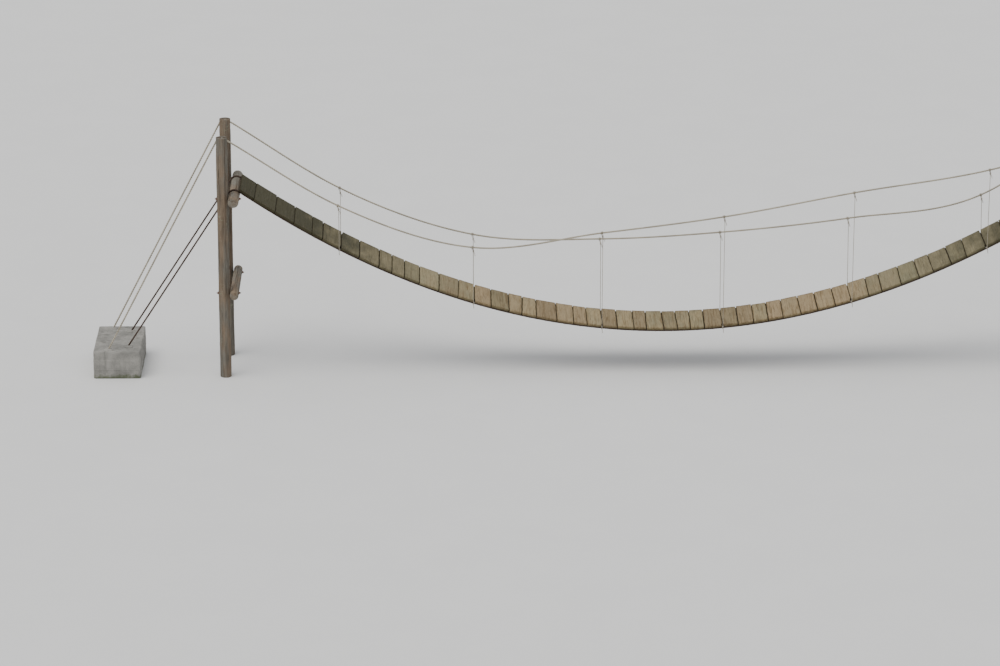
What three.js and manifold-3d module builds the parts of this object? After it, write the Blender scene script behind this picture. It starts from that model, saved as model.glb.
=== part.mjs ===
// Rope suspension footbridge: a sagging plank deck on two steel cables, and two
// hand ropes tied down to those cables, carried by timber frames and anchor blocks.
// Millimetres. +X runs along the bridge, -Y is its near side, +Z is up, the floor is z = 0.
import * as THREE from 'three';
import { mergeVertices } from 'three/addons/utils/BufferGeometryUtils.js';
import Module from 'manifold-3d';

const wasm = await Module();
wasm.setup();

// Driving dimensions of the deck
const HALF_SPAN = 6280;
const DECK_SAG = 2180;
const CABLE_LOW = 650;
const CABLE_RADIUS = 13;
const CABLE_OFFSET = 365;
const BOARD_LENGTH = 800;
const BOARD_THICKNESS = 40;
const BOARD_GAP = 20;
const BAY_COUNT = 13;
const BOARDS_PER_BAY = 4;
const MIDDLE_BOARD_PITCH = 220;
const END_BOARD_PITCH = 302;
const BOARD_IRREGULARITY = 0.05;
const IRREGULARITY_STEP = 2.4;
const RUNNER_OFFSET = 250;
const RUNNER_WIDTH = 60;
const RUNNER_THICKNESS = 25;
const RUNNER_SETBACK = 30;

// Driving dimensions of the hand ropes and their ties
const ROPE_RADIUS = 14;
const ROPE_OFFSET = 510;
const TIE_RADIUS = 5;
const TIE_SEAMS = [6, 14, 22, 30, 38, 46];
const TIE_TAIL = 22;
const TIE_KNEE_OFFSET = 412;
const NEAR_ROPE_HEIGHTS = [2640, 1995, 2215, 2460, 2825, 3170];
const FAR_ROPE_HEIGHTS = [2610, 1885, 1810, 1910, 2125, 2490];
const STEPS_PER_TIE_SPACE = 5;

// Driving dimensions of the end frames and anchors
const POST_RADIUS = 85;
const POST_HEIGHT = 3690;
const SADDLE_RADIUS = 75;
const SADDLE_DEPTH = 105;
const GROOVE_WIDTH = 40;
const GROOVE_REACH = 60;
const SILL_RADIUS = 80;
const SILL_LENGTH = 1440;
const TIE_LOG_RADIUS = 65;
const TIE_LOG_LENGTH = 1340;
const TIE_LOG_HEIGHT = 1300;
const BLOCK_LENGTH = 700;
const BLOCK_WIDTH = 1240;
const BLOCK_HEIGHT = 420;
const BLOCK_START = 7760;
const CABLE_ENTRY = 7960;
const ROPE_ENTRY = 8240;
const SOCKET_DEPTH = 150;

const SEAT_GAP = 0.3;
const BEND_STEPS = 8;
const STEEPEST_BEND = Math.PI * 0.6;
const CABLE_SIDES = 8;
const LOG_SIDES = 24;
const JOIN_OVERLAP = 4;
const MERGE_DISTANCE = 1e-3;
const NEWTON_TURNS = 12;
const SIDES = [['near', -1], ['far', 1]];
const ENDS = [['left', -1], ['right', 1]];

const bridge = new THREE.Group();

// The deck cable's centre line is the parabola z = low + sag * (x / half span)^2.
const cableBend = 2 * DECK_SAG / HALF_SPAN ** 2;
const cableHeight = x => CABLE_LOW + cableBend * x * x / 2;
const endAngle = Math.atan(cableBend * HALF_SPAN);

// A route through given stations, with one ring of the tube at each of them.
class StationCurve extends THREE.Curve {
  constructor(stations) {
    super();
    this.stations = stations;
  }

  getUtoTmapping(u) {
    return u;
  }

  getPoint(t) {
    const place = t * (this.stations.length - 1);
    const first = Math.min(Math.floor(place), this.stations.length - 2);
    return this.stations[first].clone().lerp(this.stations[first + 1], place - first);
  }

  getTangent(t) {
    const last = this.stations.length - 1;
    const nearest = Math.round(t * last);
    const before = this.stations[Math.max(nearest - 1, 0)];
    const here = this.stations[nearest];
    const after = this.stations[Math.min(nearest + 1, last)];
    const incoming = here.clone().sub(before).normalize();
    const outgoing = after.clone().sub(here).normalize();
    return incoming.add(outgoing).normalize();
  }
}

// A round bar of straight stretches through the stations, with flat ends.
function tube(stations, radius) {
  const outline = [];
  for (let side = 0; side < CABLE_SIDES; side += 1) {
    const angle = 2 * Math.PI * side / CABLE_SIDES;
    outline.push(new THREE.Vector2(radius * Math.cos(angle), radius * Math.sin(angle)));
  }
  return new THREE.ExtrudeGeometry(new THREE.Shape(outline), {
    steps: stations.length - 1,
    extrudePath: new StationCurve(stations),
  });
}

function toSolid(geometry) {
  const bare = geometry.index ? geometry.toNonIndexed() : geometry.clone();
  bare.deleteAttribute('normal');
  bare.deleteAttribute('uv');
  const merged = mergeVertices(bare, MERGE_DISTANCE);
  return new wasm.Manifold(new wasm.Mesh({
    numProp: 3,
    vertProperties: new Float32Array(merged.attributes.position.array),
    triVerts: new Uint32Array(merged.index.array),
  }));
}

function toGeometry(solid) {
  const mesh = solid.getMesh();
  const geometry = new THREE.BufferGeometry();
  geometry.setAttribute('position', new THREE.BufferAttribute(mesh.vertProperties, 3));
  geometry.setIndex(new THREE.BufferAttribute(mesh.triVerts, 1));
  const faceted = geometry.toNonIndexed();
  faceted.computeVertexNormals();
  return faceted;
}

function unite(solids) {
  return solids.reduce((whole, solid) => whole.add(solid));
}

function addPiece(name, geometry, material, parent = bridge) {
  const mesh = new THREE.Mesh(geometry, material);
  mesh.name = name;
  parent.add(mesh);
  return mesh;
}

function boardWood() {
  return new THREE.MeshStandardMaterial({ color: 0x9d8a7d, roughness: 0.9, metalness: 0 });
}

function logWood() {
  return new THREE.MeshStandardMaterial({ color: 0x75695a, roughness: 0.9, metalness: 0 });
}

function paleRope() {
  return new THREE.MeshStandardMaterial({ color: 0xb3a791, roughness: 0.95, metalness: 0 });
}

function rustyWire() {
  return new THREE.MeshStandardMaterial({ color: 0x54413a, roughness: 0.7, metalness: 0.6 });
}

function roughConcrete() {
  return new THREE.MeshStandardMaterial({ color: 0x8c8a83, roughness: 0.95, metalness: 0 });
}

// Arc length of the cable from mid-span to x, and its inverse by Newton's method.
function arcTo(x) {
  const slope = cableBend * x;
  return (x * Math.hypot(1, slope) + Math.asinh(slope) / cableBend) / 2;
}

function xAtArc(length) {
  let x = length;
  for (let turn = 0; turn < NEWTON_TURNS; turn += 1) {
    x -= (arcTo(x) - length) / Math.hypot(1, cableBend * x);
  }
  return x;
}

// The seams between boards: wider boards towards the ends, each a little irregular.
function boardSeams() {
  const count = BAY_COUNT * BOARDS_PER_BAY;
  const pitches = [];
  for (let board = 0; board < count; board += 1) {
    const fromMiddle = Math.abs((2 * board + 1) / count - 1);
    const pitch = MIDDLE_BOARD_PITCH + (END_BOARD_PITCH - MIDDLE_BOARD_PITCH) * fromMiddle;
    pitches.push(pitch * (1 + BOARD_IRREGULARITY * Math.sin(IRREGULARITY_STEP * board)));
  }
  const total = pitches.reduce((sum, pitch) => sum + pitch, 0);
  const scale = 2 * arcTo(HALF_SPAN) / total;
  const seams = [-HALF_SPAN];
  let length = -arcTo(HALF_SPAN);
  for (const pitch of pitches) {
    length += pitch * scale;
    seams.push(xAtArc(length));
  }
  return seams;
}

const seams = boardSeams();
const tiePlaces = TIE_SEAMS.map(seam => seams[seam]);

// A place along the deck: so far along the straight between two seams, at a height over the cable.
function overCable(from, to, along, height) {
  const start = new THREE.Vector2(from, cableHeight(from));
  const direction = new THREE.Vector2(to, cableHeight(to)).sub(start).normalize();
  const up = new THREE.Vector2(-direction.y, direction.x);
  return start.addScaledVector(direction, along).addScaledVector(up, height);
}

function seamDistance(from, to) {
  return Math.hypot(to - from, cableHeight(to) - cableHeight(from));
}

// A piece of one side outline, drawn in X and Z, and one width across the bridge.
function acrossBridge(outline, y, width) {
  const slab = new THREE.ExtrudeGeometry(new THREE.Shape(outline), { depth: width, bevelEnabled: false });
  slab.rotateX(Math.PI / 2);
  slab.translate(0, y + width / 2, 0);
  return toSolid(slab);
}

function board(index) {
  const from = seams[index];
  const to = seams[index + 1];
  const start = BOARD_GAP / 2;
  const end = seamDistance(from, to) - BOARD_GAP / 2;
  const bottom = CABLE_RADIUS + SEAT_GAP;
  const top = bottom + BOARD_THICKNESS;
  const outline = [[start, bottom], [end, bottom], [end, top], [start, top]];
  return acrossBridge(outline.map(([along, height]) => overCable(from, to, along, height)), 0, BOARD_LENGTH);
}

// A thin strip under one bay's boards, bent at each seam as they are.
function runner(first, y) {
  const top = CABLE_RADIUS + SEAT_GAP + JOIN_OVERLAP;
  const bottom = CABLE_RADIUS + SEAT_GAP - RUNNER_THICKNESS;
  const last = first + BOARDS_PER_BAY;
  const edge = height => {
    const line = [overCable(seams[first], seams[first + 1], RUNNER_SETBACK, height)];
    for (let seam = first + 1; seam < last; seam += 1) {
      line.push(overCable(seams[seam], seams[seam + 1], 0, height));
    }
    const reach = seamDistance(seams[last - 1], seams[last]) - RUNNER_SETBACK;
    line.push(overCable(seams[last - 1], seams[last], reach, height));
    return line;
  };
  return acrossBridge([...edge(bottom), ...edge(top).reverse()], y, RUNNER_WIDTH);
}

// One bay: four boards on two thin runner strips nailed under them.
function deckBay(bay) {
  const first = bay * BOARDS_PER_BAY;
  const pieces = [runner(first, -RUNNER_OFFSET), runner(first, RUNNER_OFFSET)];
  for (let index = first; index < first + BOARDS_PER_BAY; index += 1) {
    pieces.push(board(index));
  }
  return toGeometry(unite(pieces));
}

// Bends over a log: stations of the cable's centre line from one direction to the other.
function bendOver(centre, radius, fromAngle, toAngle, y) {
  const stations = [];
  for (let step = 0; step <= BEND_STEPS; step += 1) {
    const angle = fromAngle + (toAngle - fromAngle) * step / BEND_STEPS;
    const x = centre.x + radius * Math.cos(angle);
    stations.push(new THREE.Vector3(x, y, centre.y + radius * Math.sin(angle)));
  }
  return stations;
}

// The radius of such a bend whose straight stretches just clear the log.
function bendRadius(logRadius, barRadius) {
  return (logRadius + barRadius) / Math.cos(STEEPEST_BEND / BEND_STEPS / 2) + SEAT_GAP;
}

// The angle at which a line from a bend round a centre comes down to a point on a block's top.
function stayAngle(centre, radius, entry) {
  const across = entry - centre.x;
  const down = centre.y - BLOCK_HEIGHT;
  const reach = Math.hypot(across, down);
  return Math.atan2(down, across) + Math.asin(radius / reach);
}

// Where a stay ends, inside the anchor block.
function stayEnd(entry, angle, y) {
  const x = entry + SOCKET_DEPTH * Math.cos(angle);
  return new THREE.Vector3(x, y, BLOCK_HEIGHT - SOCKET_DEPTH * Math.sin(angle));
}

const sillBend = bendRadius(SILL_RADIUS, CABLE_RADIUS);
const sillCentre = new THREE.Vector2(
  HALF_SPAN + sillBend * Math.sin(endAngle),
  cableHeight(HALF_SPAN) - sillBend * Math.cos(endAngle),
);
const cableStay = stayAngle(sillCentre, sillBend, CABLE_ENTRY);
const postPlace = sillCentre.x + SILL_RADIUS + SEAT_GAP + POST_RADIUS;
const saddleCentre = new THREE.Vector2(postPlace, POST_HEIGHT - SADDLE_DEPTH);
const saddleBend = bendRadius(SADDLE_RADIUS, ROPE_RADIUS);
const ropeStay = stayAngle(saddleCentre, saddleBend, ROPE_ENTRY);

function mirrored(stations) {
  return stations.map(place => new THREE.Vector3(-place.x, place.y, place.z)).reverse();
}

// A deck cable from anchor to anchor, with a station at each seam between boards.
function deckCable(y) {
  const bend = bendOver(sillCentre, sillBend, Math.PI / 2 + endAngle, Math.PI / 2 - cableStay, y);
  const rightEnd = [...bend, stayEnd(CABLE_ENTRY, cableStay, y)];
  const span = seams.slice(1, -1).map(x => new THREE.Vector3(x, y, cableHeight(x)));
  return tube([...mirrored(rightEnd), ...span, ...rightEnd], CABLE_RADIUS);
}

// The angle at which a hand rope climbs from its last tie to the saddle on the post.
function climb(tiePlace, tieHeight) {
  return Math.atan2(saddleCentre.y + saddleBend - tieHeight, postPlace - tiePlace);
}

// A hand rope's height over the floor: a cubic through its ties and both posts.
function ropeProfile(heights) {
  const leftClimb = climb(-tiePlaces[0], heights[0]);
  const rightClimb = climb(tiePlaces.at(-1), heights.at(-1));
  const knots = [
    [-postPlace + saddleBend * Math.sin(leftClimb), saddleCentre.y + saddleBend * Math.cos(leftClimb)],
    ...tiePlaces.map((place, index) => [place, heights[index]]),
    [postPlace - saddleBend * Math.sin(rightClimb), saddleCentre.y + saddleBend * Math.cos(rightClimb)],
  ];
  const slopes = knots.map(([x], index) => {
    if (index === 0) return -Math.tan(leftClimb);
    if (index === knots.length - 1) return Math.tan(rightClimb);
    const before = knots[index - 1];
    const after = knots[index + 1];
    const here = knots[index];
    const incoming = (here[1] - before[1]) / (x - before[0]);
    const outgoing = (after[1] - here[1]) / (after[0] - x);
    return (incoming * (after[0] - x) + outgoing * (x - before[0])) / (after[0] - before[0]);
  });
  return { knots, slopes, leftClimb, rightClimb };
}

function heightBetween(profile, index, share) {
  const [x0, z0] = profile.knots[index];
  const [x1, z1] = profile.knots[index + 1];
  const reach = x1 - x0;
  const square = share * share;
  const cube = square * share;
  return (2 * cube - 3 * square + 1) * z0
    + (cube - 2 * square + share) * reach * profile.slopes[index]
    + (3 * square - 2 * cube) * z1
    + (cube - square) * reach * profile.slopes[index + 1];
}

// A hand rope from anchor to anchor over both post tops.
function handRope(y, profile) {
  const end = angle => [
    ...bendOver(saddleCentre, saddleBend, Math.PI / 2 + angle, Math.PI / 2 - ropeStay, y),
    stayEnd(ROPE_ENTRY, ropeStay, y),
  ];
  const span = [];
  for (let index = 0; index < profile.knots.length - 1; index += 1) {
    for (let step = 0; step < STEPS_PER_TIE_SPACE; step += 1) {
      const share = step / STEPS_PER_TIE_SPACE;
      const x = profile.knots[index][0] + share * (profile.knots[index + 1][0] - profile.knots[index][0]);
      span.push(new THREE.Vector3(x, y, heightBetween(profile, index, share)));
    }
  }
  span.shift();
  const route = [...mirrored(end(profile.leftClimb)), ...span, ...end(profile.rightClimb)];
  return tube(route, ROPE_RADIUS);
}

// A tie: from the hand rope's inner side down past the board's end, then in to the deck
// cable's outer side, with a short tail over the hand rope.
function ropeTie(side, profile, index) {
  const [x, ropeHeight] = profile.knots[index + 1];
  const besideRope = TIE_RADIUS + SEAT_GAP + ROPE_RADIUS;
  const knee = new THREE.Vector3(x, side * TIE_KNEE_OFFSET, cableHeight(x));
  const slant = Math.atan2(ROPE_OFFSET - besideRope - TIE_KNEE_OFFSET, ropeHeight - knee.z);
  const top = new THREE.Vector3(x, side * (ROPE_OFFSET - besideRope / Math.cos(slant)), ropeHeight);
  const foot = new THREE.Vector3(x, side * (CABLE_OFFSET + CABLE_RADIUS + SEAT_GAP), knee.z);
  top.add(top.clone().sub(knee).setLength(TIE_TAIL));
  return tube([top, knee, foot], TIE_RADIUS);
}

// A post with a groove across its top; the groove's floor is a round saddle for the rope.
function post() {
  const log = new THREE.CylinderGeometry(POST_RADIUS, POST_RADIUS, POST_HEIGHT, LOG_SIDES);
  log.rotateX(Math.PI / 2);
  log.translate(0, 0, POST_HEIGHT / 2);
  const grooveHeight = SADDLE_DEPTH + GROOVE_REACH + JOIN_OVERLAP;
  const groove = new THREE.BoxGeometry(3 * POST_RADIUS, GROOVE_WIDTH, grooveHeight);
  groove.translate(0, 0, POST_HEIGHT - SADDLE_DEPTH - GROOVE_REACH + grooveHeight / 2);
  const saddle = new THREE.CylinderGeometry(SADDLE_RADIUS, SADDLE_RADIUS, 2 * GROOVE_WIDTH, LOG_SIDES);
  saddle.translate(0, 0, POST_HEIGHT - SADDLE_DEPTH);
  return toGeometry(toSolid(log).subtract(toSolid(groove).subtract(toSolid(saddle))));
}

function crossLog(radius, length) {
  return new THREE.CylinderGeometry(radius, radius, length, LOG_SIDES);
}

// The hole that a cable or rope fills in the anchor block, a little wider and longer than it.
function socket(entry, angle, y, radius) {
  const mouth = stayEnd(entry, angle, y).lerp(new THREE.Vector3(entry, y, BLOCK_HEIGHT), 2);
  const floor = stayEnd(entry, angle, y);
  floor.addScaledVector(floor.clone().sub(mouth).normalize(), SEAT_GAP);
  return toSolid(tube([mouth, floor], radius + SEAT_GAP));
}

function anchorBlock(end) {
  const box = new THREE.BoxGeometry(BLOCK_LENGTH, BLOCK_WIDTH, BLOCK_HEIGHT);
  box.translate(BLOCK_START + BLOCK_LENGTH / 2, 0, BLOCK_HEIGHT / 2);
  let block = toSolid(box);
  for (const [, side] of SIDES) {
    block = block.subtract(socket(CABLE_ENTRY, cableStay, side * CABLE_OFFSET, CABLE_RADIUS));
    block = block.subtract(socket(ROPE_ENTRY, ropeStay, side * ROPE_OFFSET, ROPE_RADIUS));
  }
  const geometry = toGeometry(block);
  if (end < 0) geometry.rotateZ(Math.PI);
  return geometry;
}

function buildDeck() {
  const deck = new THREE.Group();
  for (let bay = 0; bay < BAY_COUNT; bay += 1) {
    const number = String(bay + 1).padStart(2, '0');
    addPiece(`deck_bay_${number}`, deckBay(bay), boardWood(), deck);
  }
  for (const [sideName, side] of SIDES) {
    addPiece(`deck_cable_${sideName}`, deckCable(side * CABLE_OFFSET), rustyWire(), deck);
  }
  bridge.add(deck);
}

function buildHandRopes() {
  const profiles = { near: ropeProfile(NEAR_ROPE_HEIGHTS), far: ropeProfile(FAR_ROPE_HEIGHTS) };
  for (const [sideName, side] of SIDES) {
    const profile = profiles[sideName];
    addPiece(`hand_rope_${sideName}`, handRope(side * ROPE_OFFSET, profile), paleRope());
    tiePlaces.forEach((place, index) => {
      addPiece(`rope_tie_${sideName}_${index + 1}`, ropeTie(side, profile, index), paleRope());
    });
  }
}

function buildEnds() {
  for (const [endName, end] of ENDS) {
    for (const [sideName, side] of SIDES) {
      const mesh = addPiece(`post_${endName}_${sideName}`, post(), logWood());
      mesh.position.set(end * postPlace, side * ROPE_OFFSET, 0);
    }
    const sill = addPiece(`deck_sill_${endName}`, crossLog(SILL_RADIUS, SILL_LENGTH), logWood());
    sill.position.set(end * sillCentre.x, 0, sillCentre.y);
    const tieLog = addPiece(`lower_log_${endName}`, crossLog(TIE_LOG_RADIUS, TIE_LOG_LENGTH), logWood());
    tieLog.position.set(end * (postPlace - POST_RADIUS - SEAT_GAP - TIE_LOG_RADIUS), 0, TIE_LOG_HEIGHT);
    addPiece(`anchor_block_${endName}`, anchorBlock(end), roughConcrete());
  }
}

buildDeck();
buildHandRopes();
buildEnds();

export default bridge;
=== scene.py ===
"""Rope suspension footbridge: its finished surfaces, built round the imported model.

Metres. +X runs along the bridge, -Y is its near side, +Z is up and the floor is z = 0.
Every new piece is a surface worked out as whole arrays: a grid f(u, v), or an outline
carried along a path.
"""
import logging
import math
from dataclasses import dataclass
from enum import Enum, IntEnum
from functools import cached_property

import bmesh
import bpy
import numpy as np
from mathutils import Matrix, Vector


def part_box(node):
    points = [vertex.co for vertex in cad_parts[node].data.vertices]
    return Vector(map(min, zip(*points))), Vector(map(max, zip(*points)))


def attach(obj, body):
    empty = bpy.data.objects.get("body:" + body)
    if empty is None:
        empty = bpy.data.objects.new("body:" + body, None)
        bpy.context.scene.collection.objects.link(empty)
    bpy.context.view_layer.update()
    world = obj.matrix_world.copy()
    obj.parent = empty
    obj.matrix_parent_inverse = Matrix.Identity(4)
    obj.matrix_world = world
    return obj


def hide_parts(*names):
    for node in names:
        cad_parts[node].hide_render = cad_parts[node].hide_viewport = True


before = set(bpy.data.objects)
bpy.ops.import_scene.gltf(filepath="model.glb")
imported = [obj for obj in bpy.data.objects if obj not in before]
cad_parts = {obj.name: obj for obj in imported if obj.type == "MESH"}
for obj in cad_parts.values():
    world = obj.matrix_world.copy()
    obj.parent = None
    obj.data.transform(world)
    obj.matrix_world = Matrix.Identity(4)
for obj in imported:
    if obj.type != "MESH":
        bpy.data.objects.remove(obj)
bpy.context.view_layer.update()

Array = np.ndarray
Pair = tuple[float, float]
Triple = tuple[float, float, float]
Profile = tuple[Pair, ...]
Colour = Triple
Material = bpy.types.Material
Object = bpy.types.Object
Socket = bpy.types.NodeSocket
TAU = 2 * math.pi
WAVE_COUNT = 14
WAVE_LENGTHS = (0.6, 1.7)
POINTS_PER_RADIAN = 6
FEWEST_POINTS = 8
CREASE = 40.0
STRAND_CREASE = 75.0
log = logging.getLogger("footbridge")


class Named(Enum):
    """Options whose names are words of the nodes' names."""

    @property
    def label(self) -> str:
        """The option's name in small letters."""
        return self.name.lower()


class Side(Named):
    """The two long sides of the bridge, with the sign of their Y."""

    NEAR = -1
    FAR = 1


class End(Named):
    """The two ends of the bridge, with the sign of their X."""

    LEFT = -1
    RIGHT = 1


class Slot(Enum):
    """The material slots of the record."""

    BOARD = "deck_board"
    CABLE = "deck_cable"
    ROPE = "hand_rope"
    TIE = "tie_cord"
    LOG = "log_timber"
    CONCRETE = "anchor_concrete"


class Seed(IntEnum):
    """Where each kind of random draw starts to count its seeds. Waves hold their own."""

    CABLE = 11
    LASHING = 20
    HAND_ROPE = 21
    TIE = 31
    POST = 50
    NAILS = 80
    SILL = 210
    LOWER_LOG = 230
    CHECKS = 300
    JOINTS = 600
    BOARD = 700
    GAP = 1000
    SOIL = 1500


def unit(vectors: Array) -> Array:
    """Each vector of the last axis at length 1."""
    return vectors / np.linalg.norm(vectors, axis=-1, keepdims=True)


def circle(angles: Array | float) -> Array:
    """The point (cos a, sin a) for each angle a."""
    return np.stack([np.cos(angles), np.sin(angles)], axis=-1)


def round_angles(count: int) -> Array:
    """That many even angles of a whole turn, from nought."""
    return np.arange(count) * TAU / count


def at_ends(count: int) -> Array:
    """1 at the first and last of that many places, and 0 between."""
    return np.eye(count)[[0, -1]].sum(axis=0)


def ease(value: Array, start: float, end: float) -> Array:
    """A soft step: t t (3 - 2 t), where t runs from 0 at start to 1 at end."""
    share = np.clip((value - start) / (end - start), 0, 1)
    return share * share * (3 - 2 * share)


@dataclass(frozen=True)
class Waves:
    """Smooth random unevenness, mostly from -reach to reach.

    It is the sum of n plane waves sin(k . p + phase) in random directions, whose lengths lie
    between 0.6 and 1.7 times the given one, times reach sqrt(1 / (2 n)).
    """

    reach: float
    length: float
    seed: int = 0

    def at(self, points: Array, index: int = 0) -> Array:
        """The height at each place.

        Args:
            points: one number a place, or two or three in the last axis.
            index: what is added to the seed that picks the waves.

        Returns:
            One height for each place.
        """
        if points.ndim == 1:
            points = points[:, None]
        draw = np.random.default_rng(self.seed + index)
        direction = unit(draw.normal(size=(WAVE_COUNT, points.shape[-1])))
        number = TAU / (self.length * draw.uniform(*WAVE_LENGTHS, WAVE_COUNT))
        phase = draw.uniform(0, TAU, WAVE_COUNT)
        waves = np.sin(points @ (direction * number[:, None]).T + phase)
        return self.reach * (waves.sum(axis=-1) / math.sqrt(2 * WAVE_COUNT))


def spaced(path: Array, step: float) -> tuple[Array, Array]:
    """The same route with evenly spaced points.

    Args:
        path: the route's points, (n, 3).
        step: the wanted distance between points.

    Returns:
        The new points, and how far along the route each one is.
    """
    lengths = np.linalg.norm(np.diff(path, axis=0), axis=1)
    reach = np.concatenate([[0], np.cumsum(lengths)])
    along = np.linspace(0, reach[-1], max(2, round(reach[-1] / step) + 1))
    return np.stack([np.interp(along, reach, axis) for axis in path.T], axis=1), along


def softened(path: Array, step: float, width: int) -> Array:
    """A route with its corners rounded, by taking the mean over neighbouring points twice.

    Args:
        path: the route's points, (n, 3).
        step: the spacing at which the mean is taken.
        width: how many points each mean spans, an odd number.

    Returns:
        The rounded route, which keeps its two ends.
    """
    points, _ = spaced(path, step)
    reach = width // 2
    for _ in range(2):
        padded = np.pad(points, ((reach, reach), (0, 0)), mode="reflect", reflect_type="odd")
        points = sum(padded[first:first + len(points)] for first in range(width)) / width
    return points


def carried(path: Array, outline: Array) -> Array:
    """An outline carried along a route: ring i is path_i + a N_i + b B_i for each (a, b).

    N and B are square to the route and don't turn about it. A first normal comes from the
    axis least along the route. Carried to the next point by
    N - (N . T') / (1 + T . T') (T + T'), it lies at some angle to the normal there. The sum
    of those angles along the route is what the steady normal N is turned by.

    Args:
        path: the route's points, (n, 3).
        outline: (m, 2) for one outline, or (n, m, 2) for one at each point.

    Returns:
        The rings, (n, m, 3).
    """
    tangent = unit(np.gradient(path, axis=0))
    normal = unit(np.cross(tangent, np.eye(3)[np.argmin(np.abs(tangent), axis=1)]))
    across = np.cross(tangent, normal)
    here, after = tangent[:-1], tangent[1:]
    lean = (normal[:-1] * after).sum(axis=1) / (1 + (here * after).sum(axis=1))
    moved = normal[:-1] - lean[:, None] * (here + after)
    turn = np.arctan2((moved * across[1:]).sum(axis=1), (moved * normal[1:]).sum(axis=1))
    total = np.concatenate([[0], np.cumsum(turn)])[:, None]
    steady = np.cos(total) * normal + np.sin(total) * across
    beside = np.cross(tangent, steady)
    outline = np.broadcast_to(outline, (len(path), *outline.shape[-2:]))
    return path[:, None] + outline[..., :1] * steady[:, None] + outline[..., 1:] * beside[:, None]


def helix(centre: Array, axes: tuple[Array, Array, Array], radius: float,
          angles: Pair, reach: Pair) -> Array:
    """Turns round a line: centre + radius (cos a first + sin a second) + q third.

    Args:
        centre: a point on the line.
        axes: the directions of angle 0 and of a quarter turn, and the line's own.
        radius: the turns' radius.
        angles: the first and last angle a.
        reach: the first and last distance q along the line.

    Returns:
        The route's points.
    """
    count = int(abs(angles[1] - angles[0]) * POINTS_PER_RADIAN)
    angle = np.linspace(*angles, max(FEWEST_POINTS, count))
    along = np.linspace(*reach, len(angle))[:, None]
    return centre + np.concatenate([radius * circle(angle), along], axis=1) @ np.stack(axes)


def fill(items: bpy.types.bpy_prop_collection, key: str, values: Array) -> None:
    """Writes one property of all items at once."""
    kind = np.float32 if values.dtype.kind == "f" else np.int32
    items.foreach_set(key, values.astype(kind).ravel())


def added(name: str, data: bpy.types.ID) -> Object:
    """Puts an object into the scene, at the origin.

    Args:
        name: its name.
        data: its mesh, light or camera.

    Returns:
        The object.
    """
    made = bpy.data.objects.new(name, data)
    bpy.context.scene.collection.objects.link(made)
    return made


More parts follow.
